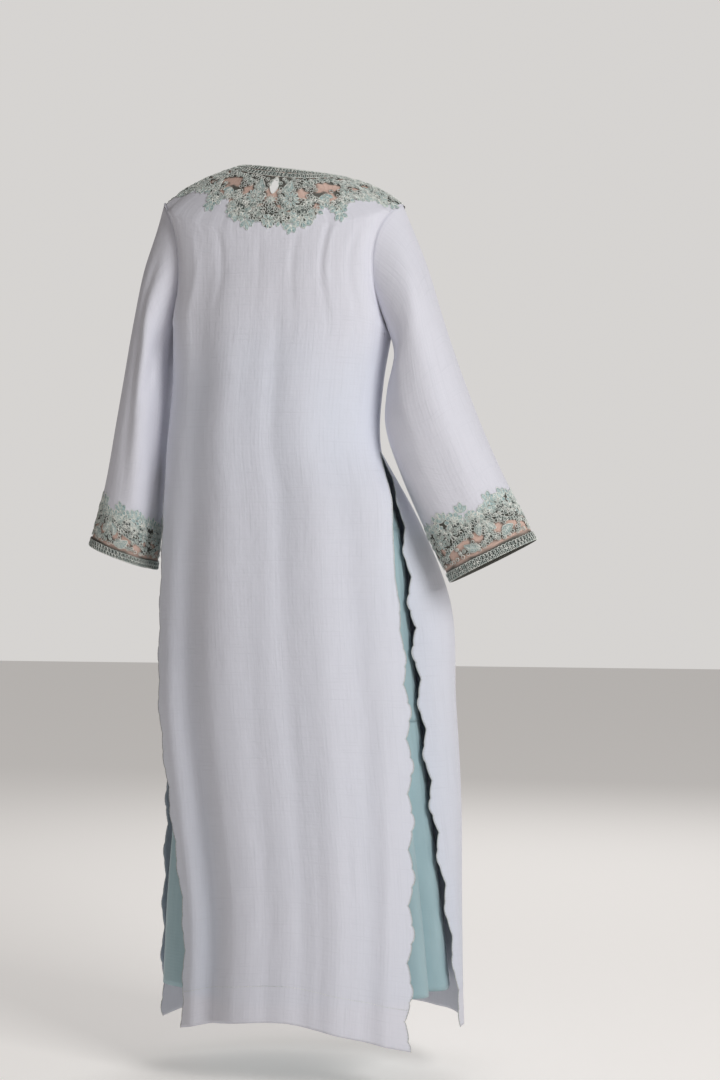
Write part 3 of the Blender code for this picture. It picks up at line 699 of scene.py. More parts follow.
def cloth_pattern(tree, source, scale):
    """A place on the cloth, stretched by a scale on each axis."""
    mapping = add_node(tree, "ShaderNodeMapping")
    mapping.inputs["Scale"].default_value = scale
    tree.links.new(source, mapping.inputs["Vector"])
    return mapping.outputs["Vector"]


def noise(tree, vector, scale, detail, roughness=0.5):
    node = add_node(tree, "ShaderNodeTexNoise", Scale=scale, Detail=detail, Roughness=roughness)
    tree.links.new(vector, node.inputs["Vector"])
    return node.outputs["Fac"]


def span(tree, value, low, high, to_low, to_high):
    """Maps a value from one span to another, clamped."""
    node = add_node(tree, "ShaderNodeMapRange")
    node.inputs["From Min"].default_value = low
    node.inputs["From Max"].default_value = high
    node.inputs["To Min"].default_value = to_low
    node.inputs["To Max"].default_value = to_high
    tree.links.new(value, node.inputs["Value"])
    return node.outputs["Result"]


def maths(tree, operation, a, b):
    node = tree.nodes.new("ShaderNodeMath")
    node.operation = operation
    for socket, value in zip(node.inputs, (a, b)):
        if isinstance(value, (int, float)):
            socket.default_value = value
        else:
            tree.links.new(value, socket)
    return node.outputs[0]


def tint(tree, factor, a, b):
    """Mixes two colours, each a colour or an output."""
    node = tree.nodes.new("ShaderNodeMix")
    node.data_type = "RGBA"
    tree.links.new(factor, node.inputs["Factor"])
    for socket, value in ((node.inputs[6], a), (node.inputs[7], b)):
        if isinstance(value, tuple):
            socket.default_value = (*value, 1.0)
        else:
            tree.links.new(value, socket)
    return node.outputs[2]


def bump(tree, shader, height, strength, distance):
    node = add_node(tree, "ShaderNodeBump", Strength=strength, Distance=distance)
    tree.links.new(height, node.inputs["Height"])
    tree.links.new(node.outputs["Normal"], shader.inputs["Normal"])


def weave(tree, uv, pitch):
    """Crossing threads: the higher of two rows of ridges, a little uneven."""
    ridges = []
    for turn in (0.0, math.pi / 2):
        mapping = add_node(tree, "ShaderNodeMapping")
        mapping.inputs["Rotation"].default_value = (0.0, 0.0, turn)
        tree.links.new(uv, mapping.inputs["Vector"])
        wave = add_node(tree, "ShaderNodeTexWave", Scale=1.0 / (pitch * 20.0), Distortion=1.2)
        wave.inputs["Detail Scale"].default_value = 2.0
        tree.links.new(mapping.outputs["Vector"], wave.inputs["Vector"])
        ridges.append(wave.outputs["Fac"])
    return maths(tree, "ADD", ridges[0], ridges[1])


def linen_material():
    """Pale blue linen: slubs both ways, a fine weave, and the slip's blue painted on where the slip lies close
    behind it, a painted see-through of the opaque linen.
    """
    material, tree, shader = new_material("linen", (0.80, 0.83, 0.88), 0.88)
    shader.inputs["Sheen Weight"].default_value = 0.25
    shader.inputs["Sheen Roughness"].default_value = 0.5
    shader.inputs["Specular IOR Level"].default_value = 0.25
    uv = add_node(tree, "ShaderNodeUVMap", uv_map="cloth").outputs["UV"]
    down_slubs = noise(tree, cloth_pattern(tree, uv, (420.0, 9.0, 1.0)), 1.0, 3.0, 0.6)
    cross_slubs = noise(tree, cloth_pattern(tree, uv, (11.0, 420.0, 1.0)), 1.0, 3.0, 0.6)
    slubs = maths(tree, "MAXIMUM", span(tree, down_slubs, 0.52, 0.80, 0.0, 1.0),
                  span(tree, cross_slubs, 0.55, 0.82, 0.0, 1.0))
    clouds = noise(tree, cloth_pattern(tree, uv, (9.0, 4.0, 1.0)), 1.0, 3.0)
    # Painted see-through: the slip's blue is mixed into the linen's colour where the slip lies close behind it.
    near = add_node(tree, "ShaderNodeAttribute", attribute_name="painted_slip_tint").outputs["Fac"]
    base = tint(tree, near, (0.735, 0.738, 0.812), (0.655, 0.718, 0.830))
    light = tint(tree, span(tree, clouds, 0.35, 0.65, 0.0, 0.4), base, (0.745, 0.752, 0.832))
    darker = tint(tree, maths(tree, "MULTIPLY", slubs, 0.35), light, (0.56, 0.58, 0.65))
    tree.links.new(darker, shader.inputs["Base Color"])
    threads = maths(tree, "MULTIPLY", weave(tree, uv, 0.0011), 0.3)
    crumple = noise(tree, cloth_pattern(tree, uv, (34.0, 15.0, 1.0)), 1.0, 4.0, 0.55)
    grain = maths(tree, "ADD", slubs, threads)
    bump(tree, shader, maths(tree, "ADD", grain, maths(tree, "MULTIPLY", crumple, 9.0)), 0.5, 0.0004)
    return material


def slip_material():
    """Teal cloth of the slip: a plain weave with a soft sheen."""
    material, tree, shader = new_material("slip_cloth", (0.25, 0.42, 0.46), 0.7)
    shader.inputs["Sheen Weight"].default_value = 0.3
    shader.inputs["Specular IOR Level"].default_value = 0.35
    uv = add_node(tree, "ShaderNodeUVMap", uv_map="cloth").outputs["UV"]
    slubs = noise(tree, cloth_pattern(tree, uv, (300.0, 12.0, 1.0)), 1.0, 3.0, 0.6)
    clouds = noise(tree, cloth_pattern(tree, uv, (14.0, 5.0, 1.0)), 1.0, 3.0)
    base = tint(tree, span(tree, clouds, 0.35, 0.65, 0.0, 1.0), (0.330, 0.475, 0.520), (0.395, 0.545, 0.590))
    color = tint(tree, span(tree, slubs, 0.5, 0.8, 0.0, 0.5), base, (0.37, 0.50, 0.53))
    tree.links.new(color, shader.inputs["Base Color"])
    threads = maths(tree, "MULTIPLY", weave(tree, uv, 0.0009), 0.35)
    bump(tree, shader, maths(tree, "ADD", slubs, threads), 0.5, 0.0004)
    return material


def net_material():
    """Nude net, see-through, with a fine six-sided mesh. Under dense embroidery it is painted near-black, as
    painted shade in the gaps between the threads.
    """
    material, tree, shader = new_material("net", (0.66, 0.47, 0.40), 0.8)
    shader.inputs["Alpha"].default_value = 0.86
    shader.inputs["Specular IOR Level"].default_value = 0.2
    uv = add_node(tree, "ShaderNodeUVMap", uv_map="cloth").outputs["UV"]
    cells = add_node(tree, "ShaderNodeTexVoronoi", feature="DISTANCE_TO_EDGE", Scale=700.0)
    tree.links.new(uv, cells.inputs["Vector"])
    threads = span(tree, cells.outputs["Distance"], 0.05, 0.25, 1.0, 0.0)
    nude = tint(tree, threads, (0.66, 0.45, 0.375), (0.80, 0.59, 0.51))
    dense_shade = add_node(tree, "ShaderNodeAttribute", attribute_name="dense_shade").outputs["Fac"]
    # Painted shade: the dense parts of the net are coloured near-black for the shade between the stitches.
    tree.links.new(tint(tree, dense_shade, nude, (0.135, 0.135, 0.120)), shader.inputs["Base Color"])
    bump(tree, shader, threads, 0.4, 0.0003)
    return material


def thread_material(name, color, dark, metal, roughness):
    """Twisted embroidery thread: its colour shifts along its length and its plies show as ridges."""
    material, tree, shader = new_material(name, color, roughness)
    shader.inputs["Metallic"].default_value = metal
    shader.inputs["Sheen Weight"].default_value = 0.2
    place = add_node(tree, "ShaderNodeTexCoord").outputs["Object"]
    shade = noise(tree, place, 160.0, 2.0)
    tree.links.new(tint(tree, span(tree, shade, 0.35, 0.65, 0.0, 1.0), dark, color), shader.inputs["Base Color"])
    plies = noise(tree, place, 2600.0, 1.0)
    bump(tree, shader, plies, 0.35, 0.0002)
    return material


def satin_material():
    """Pale aqua satin stitch: parallel shiny threads that run across each petal, each tinted lighter along its
    ridge as painted sheen.
    """
    material, tree, shader = new_material("satin_stitch", (0.42, 0.56, 0.56), 0.48)
    shader.inputs["Sheen Weight"].default_value = 0.3
    uv = add_node(tree, "ShaderNodeUVMap", uv_map="cloth").outputs["UV"]
    wave = add_node(tree, "ShaderNodeTexWave", Scale=1.0 / (0.0008 * 20.0), Distortion=1.5, bands_direction="Y")
    tree.links.new(uv, wave.inputs["Vector"])
    place = add_node(tree, "ShaderNodeTexCoord").outputs["Object"]
    shade = noise(tree, place, 70.0, 2.0)
    base = tint(tree, span(tree, shade, 0.35, 0.65, 0.0, 1.0), (0.24, 0.37, 0.385), (0.44, 0.56, 0.56))
    # Painted sheen: the ridge of each stitch in the wave is tinted lighter.
    color = tint(tree, maths(tree, "MULTIPLY", wave.outputs["Fac"], 0.5), base, (0.62, 0.73, 0.71))
    tree.links.new(color, shader.inputs["Base Color"])
    bump(tree, shader, wave.outputs["Fac"], 0.5, 0.0003)
    return material


LINEN = linen_material()
SLIP_CLOTH = slip_material()
NET = net_material()
SILVER = thread_material("silver_thread", (0.93, 0.94, 0.89), (0.50, 0.58, 0.55), 0.0, 0.45)
WHIPPED = thread_material("edge_thread", (0.62, 0.64, 0.62), (0.45, 0.48, 0.46), 0.05, 0.55)
# Painted shade: near-black patches laid under the coils and flowers stand for the shade between the threads.
SHADE_GROUND = thread_material("shade_ground_thread", (0.150, 0.175, 0.165), (0.080, 0.095, 0.088), 0.0, 0.85)
SATIN = satin_material()


# ---- Embroidery ----------------------------------------------------------------------------------

class Skin:
    """A stretch of cloth to work embroidery on, read by two places: one across it and one down it."""

    def __init__(self, point, across, down, flip, wraps=False):
        self.starts = (across[0], down[0])
        self.steps = ((across[1] - across[0]) / across[2], (down[1] - down[0]) / down[2])
        self.wraps = wraps
        self.points = np.array([[tuple(point(across[0] + i * self.steps[0], down[0] + j * self.steps[1]))
                                 for i in range(across[2] + 1)] for j in range(down[2] + 1)])
        normal = np.cross(np.gradient(self.points, axis=1), np.gradient(self.points, axis=0))
        normal /= np.linalg.norm(normal, axis=2, keepdims=True)
        self.normals = -normal if flip else normal

    def place(self, a, b, lift):
        """The points at places a across and b down, lifted off the cloth."""
        rows, columns = self.points.shape[:2]
        i = (np.asarray(a, dtype=float) - self.starts[0]) / self.steps[0]
        j = (np.asarray(b, dtype=float) - self.starts[1]) / self.steps[1]
        i = i % (columns - 1) if self.wraps else np.clip(i, 0, columns - 1.001)
        j = np.clip(j, 0, rows - 1.001)
        i0, j0 = np.minimum(i.astype(int), columns - 2), np.minimum(j.astype(int), rows - 2)
        fi, fj = (i - i0)[..., None], (j - j0)[..., None]
        lift = np.asarray(lift, dtype=float)[..., None]

        def read(grid):
            return ((grid[j0, i0] * (1 - fi) + grid[j0, i0 + 1] * fi) * (1 - fj)
                    + (grid[j0 + 1, i0] * (1 - fi) + grid[j0 + 1, i0 + 1] * fi) * fj)
        return read(self.points) + read(self.normals) * lift

    def spans(self, a, b):
        """How many metres one unit across and one unit down measure at a place."""
        here = self.place(a, b, 0.0)
        return (float(np.linalg.norm(self.place(a + self.steps[0], b, 0.0) - here)) / self.steps[0] + 1e-9,
                float(np.linalg.norm(self.place(a, b + self.steps[1], 0.0) - here)) / self.steps[1] + 1e-9)


def petal_half(width, b):
    """A petal's half width at shares b of its length: narrow at its root and round at its tip."""
    return width / 2 * (0.14 + 0.86 * np.sin(math.pi * b ** 1.15) ** 0.8)


class Needlework:
    """The threads and satin shapes worked on one skin. Shapes are drawn flat in metres: x across and y down."""

    def __init__(self, skin, seed):
        self.skin = skin
        self.draw = random.Random(seed)
        self.threads = []
        self.satins = []
        # Dark patches of painted shade under the threads
        self.shade_grounds = []

    def to_skin(self, at, turn, x, y, lift):
        """Lays flat points on the cloth round a place, turned by degrees (0 keeps y pointing down)."""
        across, down = self.skin.spans(*at)
        c, s = math.cos(math.radians(turn)), math.sin(math.radians(turn))
        return self.skin.place(at[0] + (x * c + y * s) / across, at[1] + (y * c - x * s) / down, lift)

    def thread(self, at, turn, x, y, lift, closed=False):
        self.threads.append((self.to_skin(at, turn, x, y, lift + np.zeros(len(x))), closed))

    def ring(self, at, radius, lift=0.0009):
        angle = np.linspace(0, 2 * math.pi, 7, endpoint=False) + self.draw.uniform(0, 1)
        squash = self.draw.uniform(0.72, 1.0)
        turn = self.draw.uniform(0, 180)
        self.thread(at, turn, radius * np.cos(angle), radius * squash * np.sin(angle), lift, True)

    def rosette(self, at, radius, loops, depth=0.38, lift=0.0009):
        """A wiry round of radial loops."""
        angle = np.linspace(0, 2 * math.pi, loops * 6, endpoint=False)
        r = radius * (1 - depth + depth * np.cos(loops * angle))
        self.thread(at, 0, r * np.cos(angle), r * np.sin(angle), lift + 0.0003 * np.sin(loops * angle), True)

    def shade_bed(self, at, radius):
        """A round dark patch under a flower: painted shade between its petals."""
        a, b = np.meshgrid(np.linspace(-1, 1, 5), np.linspace(-1, 1, 5))
        x, y = radius * a * np.sqrt(1 - b * b / 2), radius * b * np.sqrt(1 - a * a / 2)
        self.shade_grounds.append(self.to_skin(at, 0, x, y, np.full(x.shape, 0.0002)))

    def wheel(self, at, radius):
        """A wiry loop with a knot in it, the filling of the dense parts."""
        self.ring(at, radius)
        if radius > 0.0034:
            self.ring(at, radius * 0.36, 0.0013)

    def petal(self, at, turn, length, width, start=0.0, dome=0.0013, satin=True, bend=0.0, steps=5):
        """A petal that points down its turn, outlined by a thread and filled with satin stitch."""
        b = np.linspace(0, 1, steps + 1)
        half = petal_half(width, b)
        curve = bend * length * np.sin(math.pi * b)
        if satin:
            a = np.linspace(-1, 1, 5)
            x = half[:, None] * a[None, :] + curve[:, None]
            y = (start + length * b)[:, None] + 0 * x
            swell = np.sin(math.pi * np.clip(b, 0.08, 0.92))[:, None] ** 0.5
            lift = dome * (1 - a[None, :] ** 2) * swell - 0.0002
            self.satins.append(self.to_skin(at, turn, x, y, lift))
        rim = 1.06
        x = np.concatenate([half * rim + curve, (-half * rim + curve)[::-1]])
        y = start + length * np.concatenate([b, b[::-1]])
        self.thread(at, turn, x, y, 0.0007, True)

    def coil(self, places, width, pitch, lift=0.0010, shade_ground=True):
        """A coil of thread worked along a run of places, as wide as asked, over a dark strip of painted shade."""
        places = np.array(places, dtype=float)
        spans = np.array([self.skin.spans(a, b) for a, b in places])
        step = np.linalg.norm(np.diff(places, axis=0) * (spans[1:] + spans[:-1]) / 2, axis=1)
        length = np.concatenate([[0], np.cumsum(step)])
        count = max(int(length[-1] / pitch * 7), 8)
        s = np.linspace(0, length[-1], count)
        a, b = np.interp(s, length, places[:, 0]), np.interp(s, length, places[:, 1])
        across, down = np.interp(s, length, spans[:, 0]), np.interp(s, length, spans[:, 1])
        ta, tb = np.gradient(a) * across, np.gradient(b) * down
        size = np.hypot(ta, tb) + 1e-12
        ta, tb = ta / size, tb / size
        swell = width * (0.92 + 0.08 * np.sin(s / 0.009))
        angle = 2 * math.pi * s / pitch
        along, aside = 0.45 * np.minimum(swell, pitch * 1.5) * np.cos(angle), swell / 2 * np.sin(angle)
        points = self.skin.place(a + (ta * along - tb * aside) / across, b + (tb * along + ta * aside) / down,
                                 lift + 0.0007 * np.cos(angle))
        self.threads.append((points, False))
        # A dark strip under the coil: painted shade in its loops.
        if shade_ground:
            every = slice(None, None, 4)
            strip = [self.skin.place(a[every] - tb[every] * side * swell[every] * 0.46 / across[every],
                                     b[every] + ta[every] * side * swell[every] * 0.46 / down[every],
                                     np.full(len(a[every]), 0.00025)) for side in (-1, 0, 1)]
            self.shade_grounds.append(np.stack(strip, axis=1))

    def daisy(self, at, radius, petals, turn=0.0):
        """A round flower: satin petals about a small wiry centre."""
        self.shade_bed(at, radius * 0.94)
        for k in range(petals):
            size = radius * self.draw.uniform(0.90, 1.06)
            fan = turn + 360.0 * k / petals
            self.petal(at, fan, size * 0.68, 2.1 * radius / petals * 1.22, start=radius * 0.30)
        self.rosette(at, radius * 0.24, 5, 0.3, 0.0016)
        self.ring(at, radius * 0.10, 0.0020)

    def bloom(self, at, radius, turn, petals=7):
        """A full flower seen from the side: a fan of satin petals over loops, on a cup of rings."""
        self.shade_bed(at, radius * 0.86)
        for k in range(petals):
            fan = turn + mix(-108, 108, k / (petals - 1))
            size = radius * self.draw.uniform(0.88, 1.10)
            self.petal(at, fan, size * 0.60, radius * 0.42, start=radius * 0.44)
        for k in range(petals - 1):
            fan = turn + mix(-85, 85, k / (petals - 2))
            self.petal(at, fan, radius * 0.46, radius * 0.24, start=radius * 0.10, satin=k % 2 == 0)
        for k in range(4):
            back = math.radians(turn + 180 + mix(-60, 60, k / 3))
            across, down = self.skin.spans(*at)
            out = radius * 0.72
            place = (at[0] + out * math.sin(back) / across, at[1] + out * math.cos(back) / down)
            self.wheel(place, radius * 0.24)
        self.rosette(at, radius * 0.40, 7, 0.42, 0.0018)
        self.ring(at, radius * 0.16, 0.0020)

    def leaf(self, at, turn, length, width, bend=0.12):
        """A curved leaf of satin with a wiry rim and a vein."""
        at_start = -length / 2
        self.petal(at, turn, length, width, start=at_start, dome=0.0022, bend=bend, steps=12)
        b = np.linspace(0.08, 0.92, 9)
        curve = bend * length * np.sin(math.pi * b)
        self.thread(at, turn, curve, at_start + length * b, 0.0024)
        edge = np.linspace(0, 1, 30)
        half = petal_half(1.16 * width, edge)
        wiggle = 0.0010 * np.where(np.arange(30) % 2 == 0, 1, -1)
        for k in range(1, 8):
            root = at_start + length * k / 8.5
            reach = width * 0.40 * math.sin(math.pi * (k / 8.5) ** 1.15) ** 0.8
            middle = bend * length * math.sin(math.pi * k / 8.5)
            for side in (-1, 1):
                across = np.array([middle, middle + side * reach])
                self.thread(at, turn, across, np.array([root, root + 0.003]), 0.0021)
        for side in (-1, 1):
            x = side * (half + wiggle) + bend * length * np.sin(math.pi * edge)
            self.thread(at, turn, x, at_start + length * edge, 0.0008)

    def sprig(self, at, turn, size):
        """Three small leaves on one point."""
        for fan, share in ((-38, 0.85), (0, 1.0), (38, 0.85)):
            self.petal(at, turn + fan, size * share, size * 0.45, start=size * 0.1)


def make_piece(name, data, material):
    piece = bpy.data.objects.new(name, data)
    bpy.context.scene.collection.objects.link(piece)
    data.materials.append(material)
    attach(piece, "root")
    return piece


def thread_piece(name, threads, material, thickness):
    """All threads of one kind in one curve object, round and joined where they close."""
    curve = bpy.data.curves.new(name, "CURVE")
    curve.dimensions = "3D"
    curve.bevel_depth = thickness / 2
    curve.bevel_resolution = 0
    for points, closed in threads:
        spline = curve.splines.new("POLY")
        spline.points.add(len(points) - 1)
        flat = np.ones((len(points), 4))
        flat[:, :3] = points
        spline.points.foreach_set("co", flat.ravel())
        spline.use_cyclic_u = closed
        spline.use_smooth = True
    return make_piece(name, curve, material)


def patch_piece(name, patches, material):
    """Many small bent grids joined in one mesh."""
    mesh, uv_layer = new_sheet()
    for points in patches:
        fill_grid(mesh, points, uv_layer)
    data = bpy.data.meshes.new(name)
    mesh.to_mesh(data)
    mesh.free()
    return make_piece(name, data, material)


def finish_work(work, name):
    """Makes the pieces of one stretch of embroidery."""
    if work.threads:
        thread_piece(name + "_threads", work.threads, SILVER, 0.0012)
    if work.satins:
        patch_piece(name + "_satin", work.satins, SATIN)
    # Dark patches of painted shade under the work
    if work.shade_grounds:
        patch_piece(name + "_shade_ground", work.shade_grounds, SHADE_GROUND)


# ---- The yoke's design ---------------------------------------------------------------------------

# Where the linen's upper edge runs between the flowers: degrees off the centre, and reach below the neckline
EdgePoint = namedtuple("EdgePoint", "off reach")
BACK_EDGE = [
    EdgePoint(0, 0.101), EdgePoint(8, 0.103), EdgePoint(13, 0.100), EdgePoint(18, 0.106),
    EdgePoint(24, 0.098), EdgePoint(28, 0.078), EdgePoint(32, 0.073), EdgePoint(36, 0.094),
    EdgePoint(40, 0.088), EdgePoint(45, 0.080), EdgePoint(52, 0.092), EdgePoint(58, 0.090),
    EdgePoint(64, 0.106), EdgePoint(70, 0.110), EdgePoint(76.5, 0.118),
]
PATCH_OFF = 76.5
RIM_MARGIN = 0.002

# Motifs of the yoke, mirrored about the centre: degrees off the centre, reach, how far the tip leans outwards,
# and size (a leaf's is its length)
Motif = namedtuple("Motif", "kind off reach lean size")
BACK_MOTIFS = [
    Motif("leaf", 9.8, 0.038, -30, 0.027),
    Motif("daisy", 12.5, 0.061, 0, 0.0150),
    Motif("rosette", 0, 0.064, 0, 0.0085),
    Motif("daisy8", 0, 0.100, 0, 0.0130),
    Motif("rosette", 8.0, 0.085, 0, 0.0115),
    Motif("bloom", 18.5, 0.090, 5, 0.0215),
    Motif("sprig", 13.0, 0.103, -15, 0.0170),
    Motif("rosette", 22.5, 0.068, 0, 0.0095),
    Motif("sprig", 31.5, 0.056, 10, 0.0170),
    Motif("bloom", 36.5, 0.086, 5, 0.0155),
    Motif("sprig", 36.0, 0.097, 0, 0.0160),
    Motif("daisy8", 45.0, 0.070, 0, 0.0110),
    Motif("bloom", 53.0, 0.080, 10, 0.0140),
    Motif("daisy8", 58.0, 0.040, 0, 0.0115),
    Motif("daisy", 64.0, 0.066, 0, 0.0125),
    Motif("bloom", 66.0, 0.098, 10, 0.0150),
    Motif("rosette", 74.0, 0.045, 0, 0.0110),
    Motif("daisy8", 77.0, 0.086, 0, 0.0125),
    Motif("rosette", 85.0, 0.070, 0, 0.0120),
    Motif("sprig", 73.0, 0.110, 10, 0.0150),
]
BACK_SCROLLS = [
    ((21, 0.037), (25, 0.029), (33, 0.026), (43, 0.028), (49, 0.037),
     (48, 0.050), (44, 0.058), (41, 0.070), (39, 0.080)),
    ((6, 0.054), (7, 0.066), (9, 0.074), (14, 0.079), (19, 0.074)),
    ((24, 0.058), (27, 0.064), (29, 0.072), (32, 0.080)),
    ((50, 0.046), (56, 0.056), (62, 0.052), (66, 0.040), (74, 0.032), (84, 0.032)),
    ((58, 0.092), (62, 0.084), (70, 0.080), (78, 0.070), (88, 0.052)),
    ((84, 0.120), (84, 0.100), (88, 0.088)),
]
# Places where the net shows bare: degrees off the centre, reach, and half width and height in metres
Window = namedtuple("Window", "off reach half_width half_height")
BACK_WINDOWS = [
    Window(0, 0.050, 0.012, 0.018), Window(19, 0.052, 0.009, 0.011), Window(35, 0.042, 0.018, 0.010),
    Window(42, 0.048, 0.010, 0.007), Window(35, 0.066, 0.008, 0.013), Window(14, 0.082, 0.007, 0.006),
    Window(7, 0.074, 0.006, 0.005), Window(27, 0.078, 0.006, 0.007), Window(54, 0.062, 0.007, 0.008),
    Window(71, 0.058, 0.008, 0.006), Window(59, 0.028, 0.012, 0.004), Window(47, 0.090, 0.006, 0.006),
]
FRONT_MOTIFS = [
    Motif("leaf", 8.0, 0.036, 30, 0.026),
    Motif("daisy8", 10.0, 0.055, 0, 0.0110),
    Motif("bloom", 20.0, 0.064, 0, 0.0160),
    Motif("sprig", 8.0, 0.064, 0, 0.0130),
    Motif("rosette", 24.0, 0.042, 0, 0.0100),
    Motif("daisy", 36.0, 0.058, 0, 0.0140),
    Motif("bloom", 42.0, 0.090, 5, 0.0190),
    Motif("sprig", 32.0, 0.085, 0, 0.0150),
    Motif("rosette", 50.0, 0.062, 0, 0.0115),
    Motif("daisy8", 58.0, 0.040, 0, 0.0120),
    Motif("bloom", 60.0, 0.108, 5, 0.0170),
    Motif("daisy", 66.0, 0.074, 0, 0.0135),
    Motif("rosette", 78.0, 0.048, 0, 0.0115),
    Motif("bloom", 76.0, 0.106, 0, 0.0150),
    Motif("daisy8", 84.0, 0.080, 0, 0.0120),
]
FRONT_SCROLLS = [
    ((14, 0.026), (22, 0.026), (30, 0.034), (32, 0.044), (28, 0.056), (28, 0.070)),
    ((38, 0.038), (46, 0.034), (52, 0.044), (56, 0.058), (54, 0.074), (50, 0.086)),
    ((62, 0.054), (68, 0.050), (76, 0.062), (80, 0.076), (86, 0.092)),
    ((64, 0.030), (74, 0.030), (86, 0.034)),
]
FRONT_WINDOWS = [
    Window(16, 0.044, 0.008, 0.008), Window(44, 0.050, 0.009, 0.008), Window(47, 0.074, 0.006, 0.007),
    Window(72, 0.090, 0.007, 0.008), Window(69, 0.040, 0.010, 0.006),
]


def back_edge(turn):
    """How far below the neckline the linen begins on a spoke of the back."""
    reach = float(np.interp(abs(turn - 90.0), [p.off for p in BACK_EDGE], [p.reach for p in BACK_EDGE]))
    return min(reach, spoke_length(False, turn) - RIM_MARGIN)


def front_edge(turn):
    return spoke_length(True, turn)


def sew_motif(work, motif, at, turn):
    if motif.kind == "leaf":
        work.leaf(at, turn, motif.size, motif.size * 0.50, bend=0.14 if turn < 0 else -0.14)
    elif motif.kind == "daisy":
        work.daisy(at, motif.size, 11)
    elif motif.kind == "daisy8":
        work.daisy(at, motif.size, 8)
    elif motif.kind == "rosette":
        work.rosette(at, motif.size, 11)
        work.rosette(at, motif.size * 0.55, 7, 0.35, 0.0012)
        work.ring(at, motif.size * 0.2, 0.0014)
    elif motif.kind == "bloom":
        work.bloom(at, motif.size, turn)
    elif motif.kind == "sprig":
        work.sprig(at, turn, motif.size)


def sew_scroll(work, places, width=0.0092, pitch=0.0056):
    """A smooth coil through a few places."""
    places = np.array(places, dtype=float)
    count = len(places)
    fine = np.linspace(0, count - 1, count * 6)
    smooth = np.stack([np.interp(fine, range(count), places[:, k]) for k in (0, 1)], axis=1)
    for _ in range(4):
        smooth[1:-1] = (smooth[:-2] + 2 * smooth[1:-1] + smooth[2:]) / 4
    work.coil(smooth, width, pitch)


def sew_yoke(work, motifs, scrolls, windows, edge, first, last, seed):
    """The yoke's design on the spokes from first to last, mirrored about the centre."""
    draw = random.Random(seed)
    sides = [side for side in (-1, 1) if first <= 90 + 45 * side <= last]
    for side in sides:
        for scroll in scrolls:
            sew_scroll(work, [(90 + side * off, reach) for off, reach in scroll])
        for motif in motifs:
            if motif.off == 0 and side > 0:
                continue
            sew_motif(work, motif, (90.0 + side * motif.off, motif.reach), side * motif.lean)
    taken = [(90.0 + side * m.off, m.reach, 0.62 * (m.size if m.kind != "leaf" else m.size * 0.4))
             for m in motifs for side in sides]
    for _ in range(9000):
        turn, reach = draw.uniform(first + 1, last - 1), draw.uniform(NECKBAND_WIDTH + 0.003, 0.145)
        if reach > edge(turn) - 0.003:
            continue
        across = work.skin.spans(turn, reach)[0]
        off = abs(turn - 90)
        if any(math.hypot((off - w.off) * across / w.half_width, (reach - w.reach) / w.half_height) < 1
               for w in windows):
            continue
        if any(math.hypot((turn - t) * across, reach - r) < size + 0.0034 for t, r, size in taken):
            continue
        taken.append((turn, reach, 0.0026))
        work.wheel((turn, reach), draw.uniform(0.0028, 0.0040))
    # Petals along the lower edge, hanging over the linen
    turn = first + 2.0 if first > 0 else 14.0
    while turn < min(last, 166.0):
        reach = edge(turn) - 0.003
        size = draw.uniform(0.0085, 0.0115)
        slope = (edge(turn + 1) - edge(turn - 1)) / 2 / work.skin.spans(turn, reach)[0]
        lean = -math.degrees(math.atan(slope)) + draw.uniform(-20, 20)
        if draw.random() < 0.55:
            work.petal((turn, reach), lean, size, 0.0060)
        else:
            work.wheel((turn, reach + 0.002), draw.uniform(0.0030, 0.0040))
        work.wheel((turn + 0.8, reach - 0.005), 0.0034)
        turn += 0.0066 / work.skin.spans(turn, reach)[0]


def keyhole_shape(x, y):
    """Below 1 inside the keyhole: a round top and a pointed foot. x and y are metres from its middle."""
    width = KEYHOLE_WIDTH / 2 * (1 - 0.45 * np.clip(y / (KEYHOLE_HEIGHT / 2), 0, 1) ** 1.5)
    return math.hypot(x / width, y / (KEYHOLE_HEIGHT / 2))


KEYHOLE_REACH = NECKBAND_WIDTH + 0.002 + KEYHOLE_HEIGHT / 2


def new_net():
    """A new sheet that also holds how densely each point is stitched over, where the net is painted dark as
    painted shade: 0 where the net shows bare.
    """
    mesh = bmesh.new()
    mesh.verts.layers.float.new("dense_shade")
    return mesh, mesh.loops.layers.uv.new("cloth")


def mark_dense_shade(mesh, verts, values):
    layer = mesh.verts.layers.float["dense_shade"]
    for vert, value in zip(verts, values.ravel()):
        vert[layer] = float(value)


def dense_shade_yoke(skin, turns, reaches, windows):
    """1 in the dense parts of a yoke, where the net gets its painted shade, 0 in its windows and round the
    keyhole.
    """
    across = skin.spans(90.0, 0.06)[0]
    dense_shade = np.ones(turns.shape)
    for window in windows:
        x, y = (np.abs(turns - 90.0) - window.off) * across, reaches - window.reach
        far = np.hypot(x / window.half_width, y / window.half_height)
        far += 0.22 * np.sin(5 * np.arctan2(y, x) + window.off)
        dense_shade = np.minimum(dense_shade, np.clip((far - 0.85) / 0.3, 0, 1))
    return dense_shade


